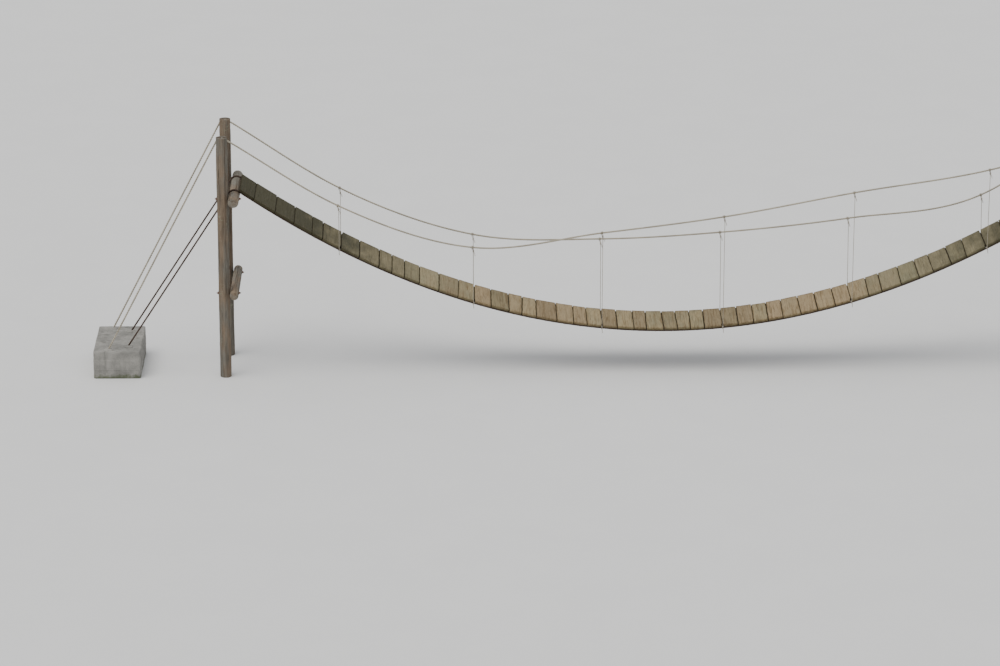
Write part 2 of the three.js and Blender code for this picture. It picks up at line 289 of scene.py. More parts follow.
@dataclass
class Surface:
    """Points joined by faces of four or three corners.

    Fields:
        points: the places, (n, 3).
        faces: each face's points, (k, 4), with -1 for the corner that a triangle lacks.
        uv: the UV place of each corner, (k, 4, 2).
        marks: named values at the points, (n,) or (n, 3), which the finishes read.
    """

    points: Array
    faces: Array
    uv: Array
    marks: dict[str, Array]

    @classmethod
    def from_rings(cls, rings: Array, along: Array, **marks: Array | float) -> "Surface":
        """Closes rings into one body, with a fan round a middle point at either end.

        Face (i, j) joins places j and j + 1 of rings i and i + 1; the last place joins the
        first. U is the distance along and V runs from 0 to 1 round the ring. Where the
        signed volume is below nought, the faces are turned over.

        Args:
            rings: the grid f(u_i, v_j), (n, m, 3).
            along: u at each ring, (n,).
            marks: numbers or vectors for the same grid.

        Returns:
            The closed surface, its faces pointing out.
        """
        count, sides = rings.shape[:2]

        def with_middles(grid: Array) -> Array:
            """The grid's values in a row, then the means of its first and last ring."""
            rows = grid.reshape(-1, *grid.shape[2:])
            return np.concatenate([rows, grid[:1].mean(axis=1), grid[-1:].mean(axis=1)])

        points = with_middles(rings)
        index = np.arange(-sides, (count + 1) * sides).reshape(-1, sides)
        index[0], index[-1] = count * sides, count * sides + 1
        after = np.roll(index, -1, axis=1)
        faces = np.stack([index[:-1], after[:-1], after[1:], index[1:]], axis=-1).reshape(-1, 4)
        reach = np.concatenate([along[:1], along, along[-1:]])
        u, v = np.meshgrid(reach, np.arange(sides) / sides, indexing="ij")
        low, high = np.stack([u, v], axis=-1), np.stack([u, v + 1 / sides], axis=-1)
        uv = np.stack([low[:-1], high[:-1], high[1:], low[1:]], axis=2).reshape(-1, 4, 2)
        a, b, c, d = (points[faces[:, corner]] for corner in range(4))
        inside_out = (a * (np.cross(b, c) + np.cross(c, d))).sum() < 0
        faces[:sides, 1] = faces[-sides:, 2] = -1
        if inside_out:
            faces, uv = faces[:, ::-1], uv[:, ::-1]
        grids = {name: np.broadcast_to(values, (count, sides, *np.shape(values)[2:])).astype(float)
                 for name, values in marks.items()}
        return cls(points, faces, uv, {name: with_middles(grid) for name, grid in grids.items()})

    @classmethod
    def joined(cls, parts: list["Surface"]) -> "Surface":
        """Several surfaces as one.

        Args:
            parts: surfaces with the same marks.

        Returns:
            One surface that holds them all.
        """
        starts = np.cumsum([0] + [len(part.points) for part in parts[:-1]])
        faces = [np.where(part.faces < 0, -1, part.faces + start) for part, start in zip(parts, starts)]
        marks = {name: np.concatenate([part.marks[name] for part in parts]) for name in parts[0].marks}
        return cls(np.concatenate([part.points for part in parts]), np.concatenate(faces),
                   np.concatenate([part.uv for part in parts]), marks)

    def copied(self, frames: Array, places: Array) -> "Surface":
        """The surface at many places: copy k of a point p is frames_k p + places_k."""
        return Surface.joined([Surface(self.points @ axes.T + place, self.faces, self.uv, self.marks)
                               for axes, place in zip(frames, places)])

    def as_object(self, name: str, crease: float) -> Object:
        """Puts the surface into a mesh object.

        Args:
            name: the object's name.
            crease: the angle in degrees past which an edge is drawn sharp.

        Returns:
            The new object.
        """
        mesh = bpy.data.meshes.new(name)
        used = self.faces >= 0
        sizes = used.sum(axis=1)
        for items, key, values in ((mesh.vertices, "co", self.points),
                                   (mesh.loops, "vertex_index", self.faces[used]),
                                   (mesh.polygons, "loop_start", np.cumsum(sizes) - sizes)):
            items.add(len(values))
            fill(items, key, values)
        mesh.update(calc_edges=True)
        mesh.shade_smooth()
        fill(mesh.uv_layers.new(name="UVMap").data, "uv", self.uv[used])
        for mark, values in self.marks.items():
            kind, key = ("FLOAT", "value") if values.ndim == 1 else ("FLOAT_VECTOR", "vector")
            fill(mesh.attributes.new(mark, kind, "POINT").data, key, values)
        mesh.set_sharp_from_angle(angle=math.radians(crease))
        return added(name, mesh)


class Paint:
    """One procedural material, made node by node, whose colour each new layer changes."""

    def __init__(self, name: str, base: Colour) -> None:
        """Starts a material.

        Args:
            name: its name.
            base: its first colour.
        """
        self.material = bpy.data.materials.new(name)
        self.material.use_nodes = True
        self.tree = self.material.node_tree
        self.place = self.node("ShaderNodeTexCoord", {}, "Object")
        self.colour: Socket | Colour = base

    def feed(self, node: bpy.types.Node, inputs: dict[str | int, object]) -> None:
        """Sets a node's inputs.

        Args:
            node: the node.
            inputs: a value or another node's output for each named or numbered input.
        """
        for key, value in inputs.items():
            if isinstance(value, Socket):
                self.tree.links.new(value, node.inputs[key])
            else:
                node.inputs[key].default_value = value

    def node(self, kind: str, inputs: dict[str | int, object], output: int | str = 0,
             **settings: object) -> Socket:
        """Adds a node.

        Args:
            kind: its type.
            inputs: what goes into it.
            output: which output to give back.
            settings: its own options.

        Returns:
            That output.
        """
        made = self.tree.nodes.new(kind)
        for key, value in settings.items():
            setattr(made, key, value)
        self.feed(made, inputs)
        return made.outputs[output]

    def mark(self, name: str, output: str = "Fac") -> Socket:
        """One of the surface's marks, as a number or as a vector."""
        return self.node("ShaderNodeAttribute", {}, output, attribute_name=name)

    def parts(self, vector: Socket) -> list[Socket]:
        """The X, Y and Z of a vector."""
        return list(self.node("ShaderNodeSeparateXYZ", {0: vector}).node.outputs)

    def maths(self, operation: str, *values: Socket | float) -> Socket:
        """A sum, product or other function of numbers."""
        return self.node("ShaderNodeMath", dict(enumerate(values)), operation=operation)

    def product(self, *values: Socket | float) -> Socket:
        """Two numbers multiplied."""
        return self.maths("MULTIPLY", *values)

    def noise(self, vector: Socket, scale: float, detail: float = 4.0, roughness: float = 0.55,
              distortion: float = 0.0) -> Socket:
        """Soft random value of the place, from 0 to 1 and mostly near 0.5."""
        return self.node("ShaderNodeTexNoise", {"Vector": vector, "Scale": scale, "Detail": detail,
                                                "Roughness": roughness, "Distortion": distortion})

    def stretched(self, vector: Socket, factors: Triple) -> Socket:
        """Coordinates times a factor on each axis."""
        return self.node("ShaderNodeVectorMath", {0: vector, 1: factors}, operation="MULTIPLY")

    def grained(self, grain: Socket, along: float, across: float, detail: float,
                distortion: float = 0.0) -> Socket:
        """Noise drawn out along the grain, with so many features a metre along it and across it."""
        place = self.stretched(grain, (along, across, across))
        return self.noise(place, 1.0, detail, distortion=distortion)

    def rings(self, grain: Socket, scale: float, distortion: float, detail: float,
              detail_scale: float) -> Socket:
        """Growth rings round the grain's middle line.

        Args:
            grain: the grain's coordinates.
            scale: how many rings there are in a unit, about.
            distortion: how far they are pulled about.
            detail: how many finer layers pull at them.
            detail_scale: how fine those are.

        Returns:
            A value from 0 to 1.
        """
        inputs = {"Vector": grain, "Scale": scale, "Distortion": distortion, "Detail": detail,
                  "Detail Scale": detail_scale}
        return self.node("ShaderNodeTexWave", inputs, "Fac", wave_type="RINGS", rings_direction="X")

    def span(self, value: Socket, low: float, high: float, to_low: Socket | float = 0.0,
             to_high: float = 1.0) -> Socket:
        """Maps low to to_low and high to to_high, softly, and holds the value there beyond."""
        inputs = {0: value, 1: low, 2: high, 3: to_low, 4: to_high}
        return self.node("ShaderNodeMapRange", inputs, interpolation_type="SMOOTHSTEP")

    def stain(self, over: Colour, share: Socket) -> None:
        """Mixes a share of another colour into the present one."""
        pair = [tone if isinstance(tone, Socket) else (*tone, 1.0) for tone in (self.colour, over)]
        self.colour = self.node("ShaderNodeMix", {0: share, 6: pair[0], 7: pair[1]}, 2, data_type="RGBA")

    def coat(self, over: Colour, value: Socket, low: float, high: float, most: float = 1.0,
             least: float = 0.0) -> None:
        """Stains with the least share where the value is low and with the most where it is high."""
        self.stain(over, self.span(value, low, high, least, most))

    def shade(self, value: Socket, low: float, high: float, dark: Socket | float, pale: float) -> None:
        """Multiplies the colour by dark where the value is low and by pale where it is high."""
        inputs = {0: self.colour, "Scale": self.span(value, low, high, dark, pale)}
        self.colour = self.node("ShaderNodeVectorMath", inputs, operation="SCALE")

    def bump(self, height: Socket, distance: float, strength: float, normal: Socket | None = None) -> Socket:
        """The normal tilted by a height, of which 1 is that many metres, on top of an earlier bump."""
        inputs = {"Height": height, "Distance": distance, "Strength": strength}
        return self.node("ShaderNodeBump", inputs if normal is None else {**inputs, "Normal": normal})

    def finished(self, roughness: Socket | float, normal: Socket, metallic: Socket | float = 0.0,
                 reflection: float = 0.5, sheen: float = 0.0) -> Material:
        """Joins the shader's inputs.

        Args:
            roughness: the roughness.
            normal: the bumped normal.
            metallic: how much of the surface is bare metal.
            reflection: the level of its highlights.
            sheen: how much fine fuzz it has.

        Returns:
            The material.
        """
        self.feed(self.tree.nodes["Principled BSDF"], {
            "Base Color": self.colour, "Roughness": roughness, "Normal": normal, "Metallic": metallic,
            "Specular IOR Level": reflection, "Sheen Weight": sheen})
        return self.material


@dataclass(frozen=True)
class BoardFinish:
    """Sawn boards bleached by weather: pale tan in the middle, greener towards both ends and darkened there
    by painted shade.
    """

    bleached: Colour = (0.288, 0.240, 0.134)
    pink: Colour = (0.276, 0.204, 0.117)
    grey: Colour = (0.222, 0.198, 0.118)
    brown: Colour = (0.148, 0.102, 0.050)
    silver: Colour = (0.256, 0.248, 0.152)
    # shaded: painted shade, which darkens both ends of the deck
    shaded: Colour = (0.0400, 0.0380, 0.0215)
    # Painted shade, with some grime, for the sides, undersides, seam corners and lower end faces.
    dirt: Colour = (0.030, 0.024, 0.010)
    crack: Colour = (0.020, 0.014, 0.008)
    warm_within: float = 2.7
    pale_within: float = 3.6
    dark_beyond: float = 5.4

    def paint(self) -> Material:
        """Lays streaks, growth rings, fine cracks and stains over the marks of each board, with painted
        shade towards both ends, on the sides, undersides and seam corners, and in the cracks.

        Returns:
            The material.
        """
        p = Paint("weathered_boards", self.bleached)
        grain, tone = p.mark("grain", "Vector"), p.mark("tone")
        patches = p.grained(grain, 2.6, 7.0, 3)
        streaks = p.grained(grain, 2.2, 34.0, 5, 0.5)
        fibres = p.grained(grain, 9.0, 330.0, 3)
        splits = p.grained(grain, 3.2, 150.0, 2, 0.3)
        rings = p.rings(grain, 50.0, 3.4, 3.0, 1.4)
        spread = p.maths("MULTIPLY_ADD", patches, 1.5, p.product(tone, -0.25))
        away = p.maths("ADD", p.maths("ABSOLUTE", p.parts(p.place)[0]), p.maths("SUBTRACT", spread, 0.60))
        p.coat(self.grey, patches, 0.36, 0.64)
        p.coat(self.pink, p.maths("PINGPONG", p.product(tone, 3.7), 1.0), 0.0, 1.0, 0.85, 0.15)
        p.coat(self.brown, streaks, 0.42, 0.72, 0.75)
        # Darker brown along the boards' edges and ends: partly weathering, partly painted shade at the
        # seams.
        rim = p.span(p.mark("edge"), 0.0, 1.0)
        p.stain(self.brown, p.product(rim, p.span(streaks, 0.35, 0.65, 0.1, 0.6)))
        p.coat(self.silver, away, self.warm_within, self.pale_within, 0.45)
        # Painted shade: the boards darken towards both ends, past pale_within.
        p.coat(self.shaded, away, self.pale_within, self.dark_beyond, 0.92)
        p.shade(rings, 0.0, 1.0, p.span(p.mark("sawn"), 0.0, 1.0, 0.86, 0.72), 1.08)
        p.shade(fibres, 0.3, 0.7, 0.84, 1.14)
        p.shade(tone, 0.0, 1.0, 0.82, 1.16)
        # Near-black in the cracks and splits: painted shade in the recesses.
        lines = p.maths("MAXIMUM", p.span(splits, 0.31, 0.26), p.mark("crack"))
        p.coat(self.crack, lines, 0.1, 0.8, 0.9)
        # Painted shade, with some grime, on the sides, undersides, seam corners and lower end faces.
        p.coat(self.dirt, p.mark("dirt"), 0.0, 1.0, 0.86)
        height = p.maths("MULTIPLY_ADD", fibres, 0.5, p.product(rings, 0.35))
        normal = p.bump(p.maths("SUBTRACT", height, lines), 0.0016, 0.8)
        return p.finished(p.span(streaks, 0.3, 0.7, 0.78, 0.94), normal, reflection=0.15)


@dataclass(frozen=True)
class LogFinish:
    """Peeled round logs, grey-brown, with dark cracks, knots and pale lichen."""

    wood: Colour = (0.205, 0.155, 0.108)
    grey: Colour = (0.165, 0.152, 0.125)
    dark: Colour = (0.075, 0.052, 0.034)
    crack: Colour = (0.014, 0.010, 0.007)
    lichen: Colour = (0.235, 0.250, 0.170)

    def paint(self) -> Material:
        """Lays long fibres, growth rings, cracks, knots and lichen over the marks of each log.

        Returns:
            The material.
        """
        p = Paint("weathered_logs", self.wood)
        grain = p.mark("grain", "Vector")
        patches = p.grained(grain, 1.6, 6.0, 4)
        streaks = p.grained(grain, 1.8, 30.0, 5, 0.6)
        fibres = p.grained(grain, 6.0, 210.0, 4)
        splits = p.grained(grain, 1.6, 90.0, 2, 0.2)
        rings = p.rings(grain, 42.0, 1.6, 2.0, 1.2)
        tufts = p.span(p.noise(p.place, 34.0, 5, 0.7), 0.56, 0.62)
        lichen = p.product(tufts, p.span(p.noise(p.place, 3.1, 2), 0.52, 0.66))
        p.coat(self.grey, patches, 0.38, 0.62)
        p.coat(self.dark, streaks, 0.45, 0.75, 0.8)
        p.shade(fibres, 0.3, 0.7, 0.8, 1.16)
        p.shade(rings, 0.0, 1.0, 0.88, 1.06)
        p.shade(p.mark("tone"), 0.0, 1.0, 0.85, 1.15)
        p.stain(self.dark, p.product(p.mark("knot"), 0.8))
        p.stain(self.lichen, p.product(lichen, 0.7))
        # Near-black in the cracks and splits: painted shade in the recesses.
        lines = p.maths("MAXIMUM", p.span(splits, 0.32, 0.27), p.mark("crack"))
        p.coat(self.crack, lines, 0.1, 0.8, 0.92)
        height = p.product(p.maths("ADD", fibres, lichen), 0.6)
        normal = p.bump(p.maths("SUBTRACT", height, lines), 0.003, 0.8)
        return p.finished(p.span(streaks, 0.3, 0.7, 0.8, 0.95), normal, reflection=0.2)


@dataclass(frozen=True)
class LaidFinish:
    """Twisted rope, cord or wire rope: fine lines near its own line, and painted shade between strands."""

    name: str
    pale: Colour
    worn: Colour
    # valley: painted shade between the strands
    valley: Colour
    stain: Colour
    lay: float
    lines_round: float
    line_length: float
    roughness: Pair
    bump_depth: float
    metallic: float = 0.0
    sheen: float = 0.0

    def paint(self) -> Material:
        """Lays yarns that follow V + U / lay, worn patches, stains and painted shade between the strands.

        Returns:
            The material.
        """
        p = Paint(self.name, self.pale)
        u, v, _ = p.parts(p.node("ShaderNodeUVMap", {}, uv_map="UVMap"))
        turn = p.maths("ADD", v, p.maths("DIVIDE", u, self.lay))
        yarn_place = p.node("ShaderNodeCombineXYZ", {0: p.product(turn, self.lines_round),
                                                     1: p.maths("DIVIDE", u, self.line_length)})
        yarns = p.noise(yarn_place, 1.0, 2, 0.5)
        patches = p.noise(p.place, 5.0)
        specks = p.noise(p.place, 120.0, 3, 0.7)
        p.coat(self.worn, patches, 0.35, 0.65)
        p.coat(self.stain, specks, 0.5, 0.72, 0.7)
        p.shade(yarns, 0.3, 0.7, 0.72, 1.18)
        # Painted shade in the valleys between strands.
        p.coat(self.valley, p.mark("valley"), 0.35, 1.0, 0.85)
        normal = p.bump(specks, self.bump_depth * 0.4, 0.6, p.bump(yarns, self.bump_depth, 0.9))
        roughness = p.span(patches, 0.3, 0.7, *self.roughness)
        return p.finished(roughness, normal, self.metallic, sheen=self.sheen)


HAND_ROPE_FINISH = LaidFinish(
    name="weathered_rope", pale=(0.53, 0.475, 0.365), worn=(0.40, 0.36, 0.275),
    valley=(0.115, 0.092, 0.064), stain=(0.25, 0.235, 0.160), lay=0.100, lines_round=26.0,
    line_length=0.030, roughness=(0.86, 0.97), bump_depth=0.0012, sheen=0.25)
TIE_CORD_FINISH = LaidFinish(
    name="tie_cord", pale=(0.50, 0.44, 0.335), worn=(0.38, 0.335, 0.255),
    valley=(0.110, 0.086, 0.058), stain=(0.23, 0.205, 0.145), lay=0.036, lines_round=16.0,
    line_length=0.014, roughness=(0.86, 0.97), bump_depth=0.0006, sheen=0.25)
WIRE_ROPE_FINISH = LaidFinish(
    name="rusted_wire_rope", pale=(0.105, 0.075, 0.058), worn=(0.080, 0.050, 0.034),
    valley=(0.012, 0.008, 0.006), stain=(0.190, 0.082, 0.036), lay=0.180, lines_round=42.0,
    line_length=0.050, roughness=(0.55, 0.85), bump_depth=0.0010, metallic=0.35)


@dataclass(frozen=True)
class IronFinish:
    """Small steel fittings, dark with brown and orange rust."""

    steel: Colour = (0.090, 0.080, 0.074)
    brown: Colour = (0.125, 0.060, 0.034)
    orange: Colour = (0.290, 0.120, 0.045)

    def paint(self) -> Material:
        """Lays two layers of rust over dark steel.

        Returns:
            The material.
        """
        p = Paint("rusted_iron", self.steel)
        wide = p.noise(p.place, 22.0, 5, 0.65)
        fine = p.noise(p.place, 190.0, 4, 0.7)
        p.coat(self.brown, wide, 0.36, 0.56)
        p.coat(self.orange, fine, 0.50, 0.66, 0.7)
        bare = p.span(wide, 0.36, 0.50, 0.6, 0.05)
        return p.finished(p.span(fine, 0.3, 0.7, 0.55, 0.92), p.bump(fine, 0.0006, 0.8), bare)


@dataclass(frozen=True)
class ConcreteFinish:
    """Rough cast concrete: grey, mottled, pitted, with dark runs and a green foot."""

    pale: Colour = (0.300, 0.290, 0.262)
    grey: Colour = (0.195, 0.190, 0.172)
    run: Colour = (0.085, 0.082, 0.070)
    moss: Colour = (0.070, 0.088, 0.036)
    moss_height: float = 0.16

    def paint(self) -> Material:
        """Lays mottling, grit, pits with painted shade in them, dark runs down the sides and moss near the
        floor.

        Returns:
            The material.
        """
        p = Paint("cast_concrete", self.pale)
        grit = p.noise(p.place, 95.0, 4, 0.7)
        pits = p.span(p.node("ShaderNodeTexVoronoi", {"Vector": p.place, "Scale": 46.0}), 0.20, 0.10)
        holes = p.product(pits, p.span(p.noise(p.place, 19.0, 1), 0.50, 0.58))
        p.coat(self.grey, p.noise(p.place, 4.2, 6, 0.6), 0.35, 0.65)
        p.shade(grit, 0.3, 0.7, 0.84, 1.14)
        p.coat(self.run, p.noise(p.stretched(p.place, (11.0, 11.0, 1.3)), 1.0), 0.50, 0.74, 0.55)
        low = p.span(p.parts(p.place)[2], self.moss_height, 0.0, -0.25, 0.30)
        p.coat(self.moss, p.maths("ADD", p.noise(p.place, 13.0, 6, 0.7), low), 0.56, 0.80, 0.75)
        # Painted shade in the pits.
        p.stain(self.run, p.product(holes, 0.8))
        normal = p.bump(p.maths("SUBTRACT", p.product(grit, 0.4), holes), 0.003, 0.9)
        return p.finished(p.span(grit, 0.3, 0.7, 0.82, 0.96), normal)


@dataclass(frozen=True)
class SoilFinish:
    """Near-black fill for the gaps between boards: painted shade, dressed as packed leaf soil with brown
    crumbs and a little moss.
    """

    mould: Colour = (0.020, 0.015, 0.008)
    crumb: Colour = (0.062, 0.042, 0.020)
    moss: Colour = (0.046, 0.052, 0.018)

    def paint(self) -> Material:
        """Lays crumbs and patches of moss over the near-black painted shade.

        Returns:
            The material.
        """
        p = Paint("packed_soil", self.mould)
        crumbs = p.noise(p.place, 170.0, 4, 0.65)
        p.coat(self.crumb, crumbs, 0.45, 0.68, 0.8)
        p.coat(self.moss, p.noise(p.place, 9.0, 4, 0.6), 0.54, 0.66, 0.6)
        return p.finished(0.95, p.bump(crumbs, 0.004, 0.9), reflection=0.15)


@dataclass(frozen=True)
class FloorFinish:
    """A plain pale studio floor."""

    pale: Colour = (0.740, 0.740, 0.728)
    shade: Colour = (0.725, 0.725, 0.713)

    def paint(self) -> Material:
        """Lays a faint mottling.

        Returns:
            The material.
        """
        p = Paint("pale_floor", self.pale)
        p.coat(self.shade, p.noise(p.place, 0.9, 5, 0.6), 0.3, 0.7)
        return p.finished(0.9, p.bump(p.noise(p.place, 60.0, 2), 0.0004, 0.3))


def node_box(node: str) -> Array:
    """A node's lowest and highest corner."""
    return np.array(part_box(node))


def seat(name: str, surface: Surface, material: Material, node: str = "",
         crease: float = CREASE) -> Object:
    """Makes one piece of the bridge and ties it to the model.

    Args:
        name: the piece's name.
        surface: its shape.
        material: its finish.
        node: the node that it replaces, if any.
        crease: the angle in degrees past which an edge is drawn sharp.

    Returns:
        The piece's object.
    """
    piece = surface.as_object(name, crease)
    piece.data.materials.append(material)
    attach(piece, "root")
    if node:
        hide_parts(node)
    log.info("%s: %d faces", name, len(surface.faces))
    return piece


@dataclass(frozen=True)
class DeckLine:
    """The deck cables' middle line, z = low + sag (x / half_span)^2, and where its boards meet."""

    half_span: float = 6.280
    sag: float = 2.180
    low: float = 0.650
    board_count: int = 52
    boards_per_bay: int = 4
    middle_pitch: float = 0.220
    end_pitch: float = 0.302
    irregularity: float = 0.05
    irregularity_step: float = 2.4
    newton_steps: int = 12
    tie_seams: tuple[int, ...] = (6, 14, 22, 30, 38, 46)
    moved: tuple[tuple[int, float], ...] = (
        (2, 0.018), (3, 0.056), (4, 0.060), (5, -0.030), (7, 0.010), (8, 0.064), (9, 0.002), (10, -0.066),
        (11, -0.078), (12, -0.045), (13, 0.004), (15, -0.006), (16, 0.030), (17, -0.018), (18, -0.048))
    unevenness: float = 0.032

    @property
    def bend(self) -> float:
        """The line's second derivative."""
        return 2 * self.sag / self.half_span ** 2

    def height(self, x: Array | float) -> Array | float:
        """The line's height at x."""
        return self.low + self.bend * x * x / 2

    def arc(self, x: Array | float) -> Array | float:
        """The line's length from the middle to x: (x sqrt(1 + s^2) + asinh(s) / bend) / 2, s = bend x."""
        slope = self.bend * x
        return (x * np.hypot(1, slope) + np.arcsinh(slope) / self.bend) / 2

    @cached_property
    def seams(self) -> Array:
        """The x of each even seam, from the boards' pitches along the line, by Newton's method.

        Returns:
            One x for each seam, from left to right.
        """
        board = np.arange(self.board_count)
        from_middle = np.abs((2 * board + 1) / self.board_count - 1)
        pitch = self.middle_pitch + (self.end_pitch - self.middle_pitch) * from_middle
        pitch = pitch * (1 + self.irregularity * np.sin(self.irregularity_step * board))
        reach = self.arc(self.half_span)
        length = np.concatenate([[0], np.cumsum(pitch)]) * 2 * reach / pitch.sum() - reach
        x = length.copy()
        for _ in range(self.newton_steps):
            x -= (self.arc(x) - length) / np.hypot(1, self.bend * x)
        return x

    @cached_property
    def corners(self) -> Array:
        """The middle line where the boards meet: at the seams, moved along, as widths are uneven.

        Seams that the photo shows have their own moves, and the rest small random ones. Those
        with ties and the deck's two ends stay.

        Returns:
            The places as (x, z), from left to right.
        """
        moves = self.unevenness * np.random.default_rng(Seed.JOINTS).uniform(-1, 1, self.board_count + 1)
        for seam, distance in self.moved:
            moves[seam] = distance
        moves[[0, *self.tie_seams, self.board_count]] = 0
        joints = self.seams + moves
        return np.stack([joints, self.height(joints)], axis=1)


@dataclass(frozen=True)
class Bend:
    """A line's round bend over a log, and its stay from there down into the anchor block.

    It is the right end's, in the plane of (x, z); the left end mirrors it.
    """

    centre: Array
    radius: float
    entry: float
    block_top: float
    socket_depth: float = 0.150
    steps: int = 40

    def outwards(self, climb: float) -> Array:
        """The route over the log and into the block.

        The bend is centre + radius (cos a, sin a), from a = 90 degrees + climb to 90 degrees
        less the stay's angle, atan(down / across) + asin(radius / reach). A straight follows.

        Args:
            climb: the angle at which the line comes up to the log.

        Returns:
            The route as (x, z), outwards.
        """
        across, down = self.entry - self.centre[0], self.centre[1] - self.block_top
        stay = math.atan2(down, across) + math.asin(self.radius / math.hypot(across, down))
        over = self.centre + self.radius * circle(math.pi / 2 + np.linspace(climb, -stay, self.steps))
        last = np.array([self.entry, self.block_top]) + self.socket_depth * circle(-stay)
        return np.concatenate([over, last[None]])


@dataclass(frozen=True)
class Stand:
    """Where the right end's logs and anchor stand, which the left end mirrors.

    The first four fields are boxes, each a lowest and a highest corner.
    """

    sill: Array
    post: Array
    lower: Array
    block: Array
    cable_radius: float = 0.013
    rope_radius: float = 0.014
    saddle_radius: float = 0.075
    saddle_depth: float = 0.105
    bend_clearance: float = 0.0003
    bend_step: float = 0.6 * math.pi / 8
    cable_entry: float = 7.960
    rope_entry: float = 8.240

    def bend(self, centre: Array, radii: float, entry: float) -> Bend:
        """A line's bend over a log, a little wider so that straight steps of it clear the log."""
        radius = radii / math.cos(self.bend_step / 2) + self.bend_clearance
        return Bend(centre, radius, entry, self.block[1, 2])

    @cached_property
    def sill_bend(self) -> Bend:
        """The deck cable's bend over the sill."""
        log_radius = (self.sill[1, 2] - self.sill[0, 2]) / 2
        return self.bend(self.sill.mean(axis=0)[[0, 2]], log_radius + self.cable_radius, self.cable_entry)

    @cached_property
    def saddle_bend(self) -> Bend:
        """The hand rope's bend over the round saddle in a post's top."""
        centre = np.array([self.post.mean(axis=0)[0], self.post[1, 2] - self.saddle_depth])
        return self.bend(centre, self.saddle_radius + self.rope_radius, self.rope_entry)


def whole_route(left: Array, x: Array, z: Array, right: Array, y: float) -> Array:
    """Joins the parts of a line that runs the whole bridge.

    Args:
        left: the left end's route as (|x|, z), outwards.
        x: the places between along the bridge, from end to end; the two outer ones are left out.
        z: the heights there.
        right: the right end's route as (x, z), outwards.
        y: the line's distance from the middle.

    Returns:
        The route, (n, 3).
    """
    middle = np.stack([x, z], axis=1)[1:-1]
    return np.insert(np.concatenate([left[::-1] * [-1, 1], middle, right]), 1, y, axis=1)


@dataclass(frozen=True)
class LaidLine:
    """A line of twisted strands.

    Its outline is the edge of a ring of equal circles that touch: with the circle's radius
    s = r sin(pi / n) / (1 + sin(pi / n)) and d = r - s, the edge at angle a from a strand's
    crest is d cos a + sqrt(s^2 - d^2 sin^2 a), no less than the valley's share of r. It
    turns once in each lay, and slack is how much its thickness varies.
    """

    radius: float
    strands: int
    points_per_strand: int
    lay: float
    step: float
    valley: float
    slack: Waves = Waves(0.02, 0.35)

    def surface(self, path: Array, seed: int) -> Surface:
        """The line's surface along a route.

        Args:
            path: the route's points.
            seed: picks its small unevenness.

        Returns:
            The closed surface, with the mark valley from 0 on a crest to 1 between strands.
        """
        points, along = spaced(path, self.step)
        angle = round_angles(self.strands * self.points_per_strand)
        share = math.sin(math.pi / self.strands)
        strand = self.radius * share / (1 + share)
        reach = self.radius - strand
        lobe = ((angle * self.strands / TAU + 0.5) % 1 - 0.5) * TAU / self.strands
        edge = reach * np.cos(lobe) + np.sqrt(np.maximum(strand ** 2 - (reach * np.sin(lobe)) ** 2, 0))
        edge = np.maximum(edge, self.valley * self.radius)
        uneven = 1 + self.slack.at(along, seed)[:, None] - self.slack.reach
        outline = (edge * uneven)[..., None] * circle(angle + TAU * along[:, None] / self.lay)
        depth = (self.radius - edge) / (self.radius * (1 - self.valley))
        return Surface.from_rings(carried(points, outline), along, valley=depth)


@dataclass(frozen=True)
class Seam:
    """The gap between two boards: a line that wanders, and a width that varies.

    Both neighbours take their edge from it, so they never touch. Where a tie goes through,
    each board is notched at its ends.
    """

    index: int
    last: int
    notched: bool
    end_gap: float = 0.010
    skew_reach: float = 0.007
    skew_at: float = 0.4
    half_gap: Pair = (0.0020, 0.0056)
    least_half: float = 0.0012
    half_waves: Waves = Waves(0.0013, 0.22, 1100)
    wander_waves: Waves = Waves(0.0016, 0.3, 1300)
    seeds_apart: int = 60
    notch_half: float = 0.0115
    notch_start: float = 0.330
    notch_ramp: float = 0.014

    def edge(self, y: Array, sign: int) -> Array:
        """Where a board's edge lies, from the seam's own place.

        Args:
            y: places across the bridge.
            sign: 1 for the board on the seam's right and -1 for the one on its left.

        Returns:
            The distances along the bridge.
        """
        if self.index in (0, self.last):
            return np.full(len(y), sign * self.end_gap)
        draw = np.random.default_rng(Seed.GAP + self.index)
        skew = self.skew_reach * draw.uniform(-1, 1) * y / self.skew_at
        waves = self.half_waves.at(y, self.index + self.seeds_apart * sign)
        half = draw.uniform(*self.half_gap) + self.half_waves.reach + waves
        wander = skew + self.wander_waves.at(y, self.index)
        if self.notched:
            notch = ease(np.abs(y), self.notch_start, self.notch_start + self.notch_ramp)
            half = half + (self.notch_half - half) * notch
            wander = wander * (1 - notch)
        return wander + sign * np.maximum(half, self.least_half)


